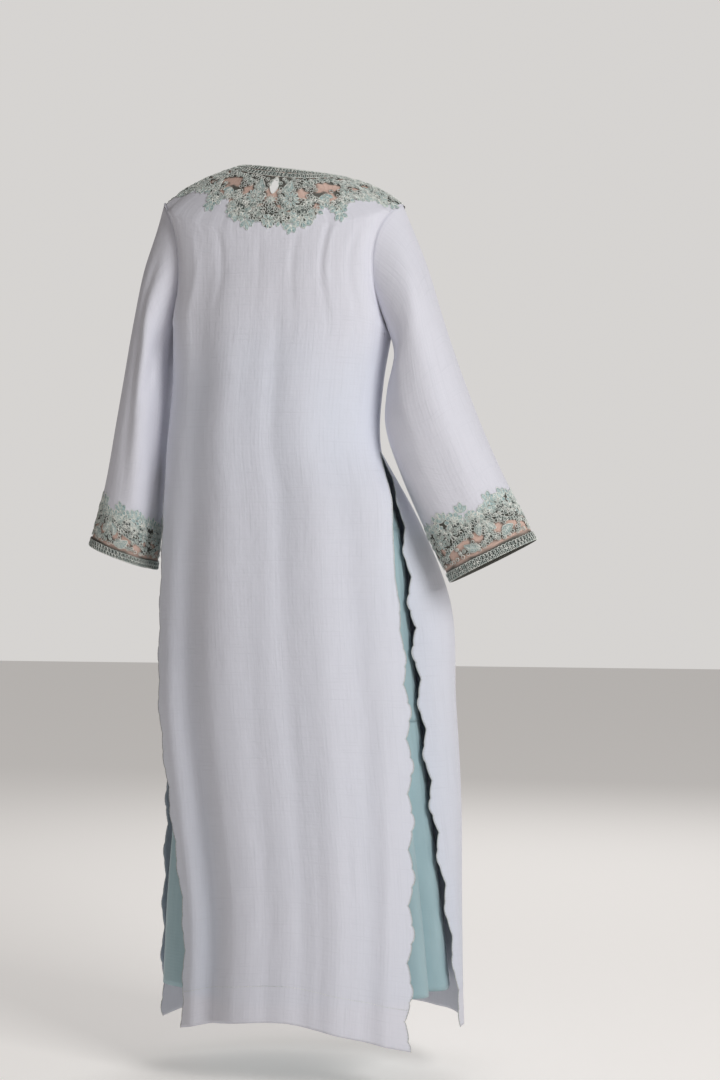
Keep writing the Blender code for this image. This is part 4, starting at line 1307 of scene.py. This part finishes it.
def build_yoke_nets(back, fronts):
    """The three nets of the yoke. The back one has the keyhole, whose rim its nearest points are drawn onto."""
    count, depth = 132, 44
    mesh, uv_layer = new_net()
    turns = np.linspace(0, 180, count + 1)
    reaches = np.array([[mix(NECKBAND_WIDTH - 0.002, min(back_edge(t) + 0.005, spoke_length(False, t)), j / depth)
                         for t in turns] for j in range(depth + 1)])
    across = back.spans(90.0, KEYHOLE_REACH)[0]
    grid_turns = np.tile(turns, (depth + 1, 1))
    inside = np.zeros(grid_turns.shape, dtype=bool)
    for j in range(depth + 1):
        for i in range(count + 1):
            x, y = (grid_turns[j, i] - 90) * across, reaches[j, i] - KEYHOLE_REACH
            shape = keyhole_shape(x, y)
            if 0 < shape < 1:
                inside[j, i] = True
                for _ in range(4):
                    x, y = x / keyhole_shape(x, y), y / keyhole_shape(x, y)
                grid_turns[j, i], reaches[j, i] = 90 + x / across, KEYHOLE_REACH + y
            elif shape == 0:
                inside[j, i] = True
    points = back.place(grid_turns, reaches, -NET_SINK)
    verts = fill_grid(mesh, points, uv_layer)
    mark_dense_shade(mesh, verts, dense_shade_yoke(back, grid_turns, reaches, BACK_WINDOWS))
    number = {vert: k for k, vert in enumerate(verts)}
    flat = inside.ravel()
    hole = [face for face in mesh.faces if all(flat[number[vert]] for vert in face.verts)]
    bmesh.ops.delete(mesh, geom=hole, context="FACES")
    finish_sheet("yoke_back_net", mesh, NET, NET_SHELL, True, ["yoke_back"])
    for word, side, front in (("left", 1, fronts[0]), ("right", -1, fronts[1])):
        spread = np.linspace(0, 90, 61) if side > 0 else np.linspace(90, 180, 61)
        reach = np.array([[mix(NECKBAND_WIDTH - 0.002, spoke_length(True, t) + 0.004, j / 30) for t in spread]
                          for j in range(31)])
        grid_turns = np.tile(spread, (31, 1))
        points = front.place(grid_turns, reach, -NET_SINK)
        points[:, -1 if side > 0 else 0, 0] += side * 0.0006
        mesh, uv_layer = new_net()
        verts = fill_grid(mesh, points, uv_layer)
        mark_dense_shade(mesh, verts, dense_shade_yoke(front, grid_turns, reach, FRONT_WINDOWS))
        finish_sheet(f"yoke_front_{word}_net", mesh, NET, NET_SHELL, False, [f"yoke_front_{word}"])


def build_neckband(back, fronts):
    """The lace band round the neck: net under two rows of coils between corded lines."""
    reach = np.linspace(0, NECKBAND_WIDTH, 7)[:, None]
    left = fronts[0].place(np.linspace(89.4, 0, 46)[None, :], reach, -NET_SINK)
    middle = back.place(np.linspace(0, 180, 91)[None, :], reach, -NET_SINK)
    right = fronts[1].place(np.linspace(180, 90.6, 46)[None, :], reach, -NET_SINK)
    points = np.concatenate([left[:, :-1], middle, right[:, 1:]], axis=1)
    sheet("neckband_net", points, NET, NET_SHELL, True, ["neckband"])
    works = [(Needlework(back, 3), 0.0, 180.0), (Needlework(fronts[0], 4), 0.0, 89.0),
             (Needlework(fronts[1], 5), 91.0, 180.0)]
    threads, shade_grounds = [], []
    for work, first, last in works:
        run = np.linspace(first, last, 60)
        for at, width, pitch in ((0.0050, 0.0078, 0.0061), (0.0137, 0.0084, 0.0068)):
            work.coil([(turn, at + 0.0006 * math.sin(turn * 0.9 + 400 * at)) for turn in run], width, pitch)
        fine = np.linspace(first, last, 240)
        for at in (0.0008, 0.0184):
            wiggle = 0.0006 * np.where(np.arange(240) % 2 == 0, 1, -1)
            work.threads.append((work.skin.place(fine, at + wiggle, 0.0010), False))
        threads += work.threads
        shade_grounds += work.shade_grounds
    thread_piece("neckband_threads", threads, SILVER, 0.0013)
    # The dark strips under the coils are painted shade.
    patch_piece("neckband_shade_ground", shade_grounds, SHADE_GROUND)


def build_yoke():
    back = Skin(lambda turn, reach: yoke_point(False, turn, reach), (0, 180, 180), (0.0, 0.150, 60), True)
    fronts = [Skin(lambda turn, reach: yoke_point(True, turn, reach), span_turns, (0.0, 0.150, 60), False)
              for span_turns in ((0, 90, 90), (90, 180, 90))]
    build_yoke_nets(back, fronts)
    build_neckband(back, fronts)
    work = Needlework(back, 11)
    sew_yoke(work, BACK_MOTIFS, BACK_SCROLLS, BACK_WINDOWS, back_edge, 0.0, 180.0, 21)
    rim = np.linspace(0, 2 * math.pi, 28, endpoint=False)
    x = KEYHOLE_WIDTH / 2 * np.sin(rim)
    y = -KEYHOLE_HEIGHT / 2 * np.cos(rim)
    x *= 1 - 0.45 * np.clip(y / (KEYHOLE_HEIGHT / 2), 0, 1) ** 1.5
    work.thread((90.0, KEYHOLE_REACH), 0, x, y, 0.0004, True)
    finish_work(work, "yoke_back")
    for word, skin, first, last in (("left", fronts[0], 0.0, 90.0), ("right", fronts[1], 90.0, 180.0)):
        work = Needlework(skin, 31)
        sew_yoke(work, FRONT_MOTIFS, FRONT_SCROLLS, FRONT_WINDOWS, front_edge, first, last, 31)
        finish_work(work, "yoke_front_" + word)


# ---- Jacket body ---------------------------------------------------------------------------------

def build_back():
    """The linen back, with what rises of it between the yoke's flowers, and its scalloped slit edges."""
    points = panel_grid(back_point, BACK_HEM_DOWN, 0, 1, BACK_COLUMNS)
    begin = inset_place(back_point, YOKE_DOWN, 0, EDGE_STRIP)
    end = inset_place(back_point, YOKE_DOWN, 1, EDGE_STRIP)
    places = [begin * i / EDGE_COLUMNS for i in range(EDGE_COLUMNS)]
    places += [mix(begin, end, i / BACK_COLUMNS) for i in range(BACK_COLUMNS + 1)]
    places += [mix(end, 1, i / EDGE_COLUMNS) for i in range(1, EDGE_COLUMNS + 1)]
    turns = [ARMHOLE_TURN + place * (180 - 2 * ARMHOLE_TURN) for place in places]
    corner = [mix(90 - PATCH_OFF, ARMHOLE_TURN, i / CORNER_COLUMNS) for i in range(CORNER_COLUMNS)]
    turns = corner + turns + [180 - turn for turn in reversed(corner)]
    patch = np.array([[tuple(yoke_point(False, turn, mix(back_edge(turn), spoke_length(False, turn), share)))
                       for turn in turns] for share in (j / PATCH_ROWS for j in range(PATCH_ROWS + 1))])
    patch[-1, CORNER_COLUMNS:-CORNER_COLUMNS] = points[0]
    mesh, uv_layer = new_sheet()
    fill_grid(mesh, points, uv_layer)
    fill_grid(mesh, patch, uv_layer, shift=(0.0, -0.004))
    finish_sheet("back_linen", mesh, LINEN, LINEN_SHELL, True,
                 ["back_panel", "edging_back_left", "edging_back_right"], near=True)


def build_fronts():
    left = panel_grid(front_point, FRONT_HEM_DOWN, 0, 0.4993, FRONT_COLUMNS)
    right = panel_grid(front_point, FRONT_HEM_DOWN, 0.5007, 1, FRONT_COLUMNS)
    for word, points in (("left", left), ("right", right)):
        sheet("front_linen_" + word, points, LINEN, LINEN_SHELL, False,
              ["front_panel_" + word, "edging_front_" + word], near=True)


def build_slit_edges():
    """The corded and whipped edges of the slits."""
    for name, panel, hem, start in (("slit_edge_back_left", back_point, BACK_HEM_DOWN, 0),
                                    ("slit_edge_back_right", back_point, BACK_HEM_DOWN, 1),
                                    ("slit_edge_front_left", front_point, FRONT_HEM_DOWN, 0),
                                    ("slit_edge_front_right", front_point, FRONT_HEM_DOWN, 1)):
        cord, whip = [], []
        levels = [down for down in panel_levels(hem) if down >= SLIT_TOP_DOWN]
        for down in levels:
            run = edge_run(panel, down, start)
            out = (run[-1] - run[0]).normalized()
            cord.append(tuple(run[-1]))
            whip.append(tuple(run[-1] + out * 0.0006))
            whip.append(tuple(run[-1] - out * 0.0024))
        thread_piece(name, [(np.array(cord), False), (np.array(whip), False)], WHIPPED, 0.0010)


def stitch_row(points, stitch, gap):
    """Separate stitches along a run of points."""
    points = np.array(points)
    length = np.concatenate([[0], np.cumsum(np.linalg.norm(np.diff(points, axis=0), axis=1))])
    threads = []
    at = gap
    while at + stitch < length[-1]:
        s = np.linspace(at, at + stitch, 3)
        threads.append((np.stack([np.interp(s, length, points[:, k]) for k in range(3)], axis=1), False))
        at += stitch + gap
    return threads


def build_seams():
    """The hems' stitch lines and the armhole seams."""
    threads = []
    for panel, hem, first, last in ((back_point, BACK_HEM_DOWN, 0.03, 0.97),
                                    (front_point, FRONT_HEM_DOWN, 0.04, 0.495),
                                    (front_point, FRONT_HEM_DOWN, 0.505, 0.96)):
        run = [panel(mix(first, last, i / 120), hem - HEM_DEPTH) for i in range(121)]
        sign = 1 if panel is back_point else -1
        threads += stitch_row([(p.x, p.y + sign * 0.0002, p.z) for p in run], 0.0030, 0.0014)
    thread_piece("hem_stitches", threads, SILVER, 0.0006)
    seams = []
    for side in (1, -1):
        angles = np.linspace(0, 360, 90, endpoint=False)
        seams.append((np.array([tuple(armhole(side, angle)) for angle in angles]), True))
    thread_piece("armhole_seams", seams, LINEN, 0.0022)


# ---- Sleeves and cuffs ---------------------------------------------------------------------------

def cuff_edge(angle):
    """Where along the sleeve the linen ends: it comes down between the cuff's flowers."""
    a = math.radians(angle)
    return CUFF_START + 0.010 + 0.017 * math.cos(4 * a + 0.6) + 0.007 * math.cos(7 * a + 1.0)


CUFF_UNITS = [(38, 1), (112, -1), (196, 1), (284, -1)]
# Motifs of one repeat: degrees off its centre, place along the sleeve, turn and size
CUFF_MOTIFS = [
    Motif("rosette", -8, 0.882, 0, 0.0125),
    Motif("daisy8", -26, 0.895, 0, 0.0115),
    Motif("bloom", 6, 0.858, 180, 0.0165),
    Motif("bloom", -22, 0.862, 180, 0.0145),
    Motif("bloom", 28, 0.866, 180, 0.0130),
    Motif("sprig", -6, 0.846, 165, 0.0175),
    Motif("sprig", 18, 0.843, 200, 0.0170),
    Motif("sprig", -36, 0.854, 180, 0.0150),
]


def cuff_windows(centre, side):
    """The bare places of one repeat of the cuff: angle, place along, and half width in degrees."""
    return [(centre + side * off, along, half) for off, along, half in
            ((2, 0.925, 10), (-17, 0.940, 8), (23, 0.922, 7), (-30, 0.915, 5))]


WINDOW_HALF = 0.016
BARE_STRIP = 0.960


def dense_shade_cuff(angles, along):
    """1 in the dense parts of a cuff, where the net gets its painted shade, 0 in its windows."""
    dense_shade = np.clip(np.abs(along - BARE_STRIP) / 0.004 - 0.8, 0, 1)
    for centre, side in CUFF_UNITS:
        for angle, place, half in cuff_windows(centre, side):
            apart = (angles - angle + 180.0) % 360.0 - 180.0
            far = np.hypot(apart / half, (along - place) / WINDOW_HALF)
            dense_shade = np.minimum(dense_shade, np.clip((far - 0.85) / 0.3, 0, 1))
    return dense_shade


def sew_cuff(skin, seed):
    """The cuff's design: a dense border, leaves and scrolls on bare net, and flowers that climb the linen."""
    work = Needlework(skin, seed)
    draw = random.Random(seed)
    run = np.linspace(0, 360, 100)
    work.coil([(a, 0.9920) for a in run], 0.0078, 0.0060)
    work.coil([(a, 0.9790) for a in run], 0.0078, 0.0066)
    fine = np.linspace(0, 360, 300, endpoint=False)
    wiggle = 0.0012 * np.where(np.arange(300) % 2 == 0, 1, -1)
    work.threads.append((skin.place(fine, 0.9975 + wiggle, 0.0008), True))
    windows = []
    taken = []
    for centre, side in CUFF_UNITS:
        def at(off, along):
            return (centre + side * off, along)
        sew_scroll(work, [at(-34, 0.945), at(-22, 0.925), at(-6, 0.915), at(10, 0.905), at(20, 0.885),
                          at(18, 0.868)], 0.0080)
        sew_scroll(work, [at(30, 0.945), at(36, 0.920), at(34, 0.895), at(40, 0.875)], 0.0070)
        work.leaf(at(12, 0.940), side * 62, 0.027, 0.0125)
        work.leaf(at(30, 0.905), side * -30, 0.022, 0.0105)
        for motif in CUFF_MOTIFS:
            place = at(motif.off, motif.reach)
            sew_motif(work, motif, place, motif.lean)
            taken.append((*place, 0.58 * motif.size))
        windows += cuff_windows(centre, side)
    for _ in range(6000):
        angle, along = draw.uniform(0, 360), draw.uniform(CUFF_START - 0.02, 0.957)
        if along < cuff_edge(angle) + 0.004:
            continue
        across, down = skin.spans(angle, along)
        if any(math.hypot(((angle - a + 180) % 360 - 180) / half, (along - b) / WINDOW_HALF) < 1
               for a, b, half in windows):
            continue
        if any(math.hypot(((angle - a + 180) % 360 - 180) * across, (along - b) * down) < size + 0.0034
               for a, b, size in taken):
            continue
        taken.append((angle, along, 0.0026))
        work.wheel((angle, along), draw.uniform(0.0028, 0.0040))
    angle = 0.0
    while angle < 360:
        along = cuff_edge(angle) + 0.006
        across, down = skin.spans(angle, along)
        work.petal((angle, along), 180 + draw.uniform(-15, 15), draw.uniform(0.0085, 0.0115), 0.0062,
                   satin=draw.random() < 0.7)
        angle += 0.0070 / across
    return work


def build_sleeve(side):
    word = "left" if side > 0 else "right"
    angles = np.linspace(0, 360, 97)
    rows = 80
    points = np.array([[tuple(sleeve_point(side, a % 360, cuff_edge(a) * j / rows)) for a in angles]
                       for j in range(rows + 1)])
    sheet("sleeve_linen_" + word, points, LINEN, LINEN_SHELL, side > 0, ["sleeve_" + word])
    skin = Skin(lambda a, b: sleeve_point(side, a % 360, b), (0, 360, 144), (0.76, 1.0, 48), side > 0,
                wraps=True)
    spread = np.linspace(0, 360, 121)
    along = np.array([[mix(cuff_edge(a) - 0.008, 1.0, j / 20) for a in spread] for j in range(21)])
    mesh, uv_layer = new_net()
    turns = np.tile(spread, (21, 1))
    mark_dense_shade(mesh, fill_grid(mesh, skin.place(turns, along, -NET_SINK), uv_layer), dense_shade_cuff(turns, along))
    finish_sheet("cuff_net_" + word, mesh, NET, NET_SHELL, side > 0, ["cuff_" + word])
    work = sew_cuff(skin, 41 if side > 0 else 43)
    finish_work(work, "cuff_" + word)


# ---- Slip dress ----------------------------------------------------------------------------------

Tier = namedtuple("Tier", "name top hem columns rows gathers")
TIERS = [
    Tier("slip_bodice", 0.250, 0.605, 120, 24, 0),
    Tier("slip_middle_tier", 0.605, 0.930, 240, 40, 58),
    Tier("slip_lower_tier", 0.930, 1.385, 288, 48, 72),
]


def build_slip():
    """The slip dress: its bodice and gathered tiers, its straps, and the seams between the tiers."""
    for tier in TIERS:
        waves = gather_waves(tier.columns, tier.gathers) if tier.gathers else ()
        rows = []
        spread = [360.0 * k / tier.columns for k in range(tier.columns)]
        profile = []
        for angle in spread:
            total = 0.0
            for centre, width, height in waves:
                apart = (angle - centre + 180.0) % 360.0 - 180.0
                if abs(apart) < 3 * width:
                    total += height * math.exp(-(apart / width) ** 2)
            profile.append(total)
        for j in range(tier.rows + 1):
            down = mix(tier.top + 0.0003, tier.hem, j / tier.rows)
            depth = down - tier.top
            strength = 0.0030 * ease(depth, 0.0, 0.012) * math.exp(-depth / 0.09)
            strength += 0.0008 * ease(depth, 0.0, 0.1)
            row = [tuple(slip_point(angle, down, -strength * profile[k])) for k, angle in enumerate(spread)]
            rows.append(row + row[:1])
        sheet(tier.name + "_cloth", np.array(rows), SLIP_CLOTH, SLIP_SHELL, True, [tier.name])
    for word, side in (("left", 1), ("right", -1)):
        rows = []
        for i in range(41):
            point = blend(STRAP_PATH, i / 40)
            x = SHOULDER_X + side * point.x
            z = point.z + SHOULDER_TILT * side * point.x * ease(point.z, -0.25, -0.10)
            rows.append([(x + edge * STRAP_WIDTH / 2, point.y, z) for edge in (1, 0.4, -0.4, -1)])
        sheet("slip_strap_" + word + "_cloth", np.array(rows), SLIP_CLOTH, STRAP_SHELL, False,
              ["slip_strap_" + word])
    seams = []
    for tier in TIERS[1:]:
        for down in (tier.top - 0.004, tier.top + 0.001):
            run = [slip_point(360.0 * k / 180, down) for k in range(180)]
            seams.append((np.array([(p.x, p.y, p.z) for p in run]), True))
    thread_piece("slip_seams", seams, SLIP_CLOTH, 0.0014)


# ---- Floor, light and camera ---------------------------------------------------------------------

VIEW_TURN = math.radians(12.0)
VIEW_DISTANCE = 3.8
VIEW_OFFSET = 0.1239
VIEW_HEIGHT = -0.622
LENS = 73.63
RIGHT = Vector((-math.cos(VIEW_TURN), -math.sin(VIEW_TURN), 0.0))
BACK = Vector((-math.sin(VIEW_TURN), math.cos(VIEW_TURN), 0.0))
FLOOR_Z = -1.53


def build_floor():
    """A plain pale level floor, a little under the hem."""
    mesh = bmesh.new()
    bmesh.ops.create_grid(mesh, x_segments=1, y_segments=1, size=12.0)
    bmesh.ops.translate(mesh, verts=mesh.verts, vec=(0.0, 0.0, FLOOR_Z))
    data = bpy.data.meshes.new("floor")
    mesh.to_mesh(data)
    mesh.free()
    floor = bpy.data.objects.new("floor", data)
    bpy.context.scene.collection.objects.link(floor)
    material, _, shader = new_material("floor", (0.78, 0.76, 0.74), 0.9)
    shader.inputs["Emission Color"].default_value = (0.80, 0.78, 0.76, 1.0)
    shader.inputs["Emission Strength"].default_value = 0.40
    data.materials.append(material)


def add_light(name, place, target, size, power, color):
    data = bpy.data.lights.new(name, "AREA")
    data.shape = "SQUARE"
    data.size = size
    data.energy = power
    data.color = color
    light = bpy.data.objects.new(name, data)
    light.location = place
    light.rotation_euler = (target - place).to_track_quat("-Z", "Y").to_euler()
    bpy.context.scene.collection.objects.link(light)


def light_through(tree, strength, shown):
    """A world that lights the garment softly and shows as a plain pale backdrop."""
    soft = tree.nodes["Background"]
    soft.inputs["Color"].default_value = (0.88, 0.82, 0.78, 1.0)
    soft.inputs["Strength"].default_value = strength
    pale = add_node(tree, "ShaderNodeBackground", Strength=shown)
    pale.inputs["Color"].default_value = (0.84, 0.82, 0.80, 1.0)
    mixed = tree.nodes.new("ShaderNodeMixShader")
    tree.links.new(tree.nodes.new("ShaderNodeLightPath").outputs["Is Camera Ray"], mixed.inputs[0])
    tree.links.new(soft.outputs[0], mixed.inputs[1])
    tree.links.new(pale.outputs[0], mixed.inputs[2])
    tree.links.new(mixed.outputs[0], tree.nodes["World Output"].inputs["Surface"])


def build_studio():
    build_floor()
    middle = Vector((0.0, 0.05, -0.6))
    key_place = middle + RIGHT * 2.25 + BACK * 2.65 + Vector((0, 0, 1.7))
    fill_place = middle - RIGHT * 3.0 + BACK * 2.4 + Vector((0, 0, 0.6))
    front_place = middle - BACK * 3.0 + RIGHT * 0.8 + Vector((0, 0, 1.8))
    add_light("key", key_place, middle, 1.5, 84.0, (1.0, 0.995, 0.985))
    add_light("fill", fill_place, middle, 2.5, 1.5, (1.0, 0.95, 0.90))
    add_light("front", front_place, middle, 2.5, 40.0, (1.0, 1.0, 1.0))
    world = bpy.data.worlds.new("studio")
    world.use_nodes = True
    light_through(world.node_tree, 0.19, 0.80)
    bpy.context.scene.world = world
    camera_data = bpy.data.cameras.new("camera")
    camera_data.lens = LENS
    camera_data.sensor_fit = "VERTICAL"
    camera_data.sensor_height = 36.0
    camera = bpy.data.objects.new("camera", camera_data)
    camera.location = RIGHT * VIEW_OFFSET + BACK * VIEW_DISTANCE + Vector((0, 0, VIEW_HEIGHT))
    camera.rotation_euler = (-BACK).to_track_quat("-Z", "Y").to_euler()
    bpy.context.scene.collection.objects.link(camera)
    bpy.context.scene.camera = camera
    bpy.context.scene.view_settings.view_transform = "Standard"


# ---- The set -------------------------------------------------------------------------------------

build_yoke()
build_back()
build_fronts()
build_slit_edges()
build_seams()
build_sleeve(1)
build_sleeve(-1)
build_slip()
build_studio()

# ---- What each cloth was cut to ------------------------------------------------------------------

# Width, length and area of the flat cut in metres, how it is held, what holds it, and the work sewn on it
Cut = namedtuple("Cut", "piece width length area held rests_on sewn")
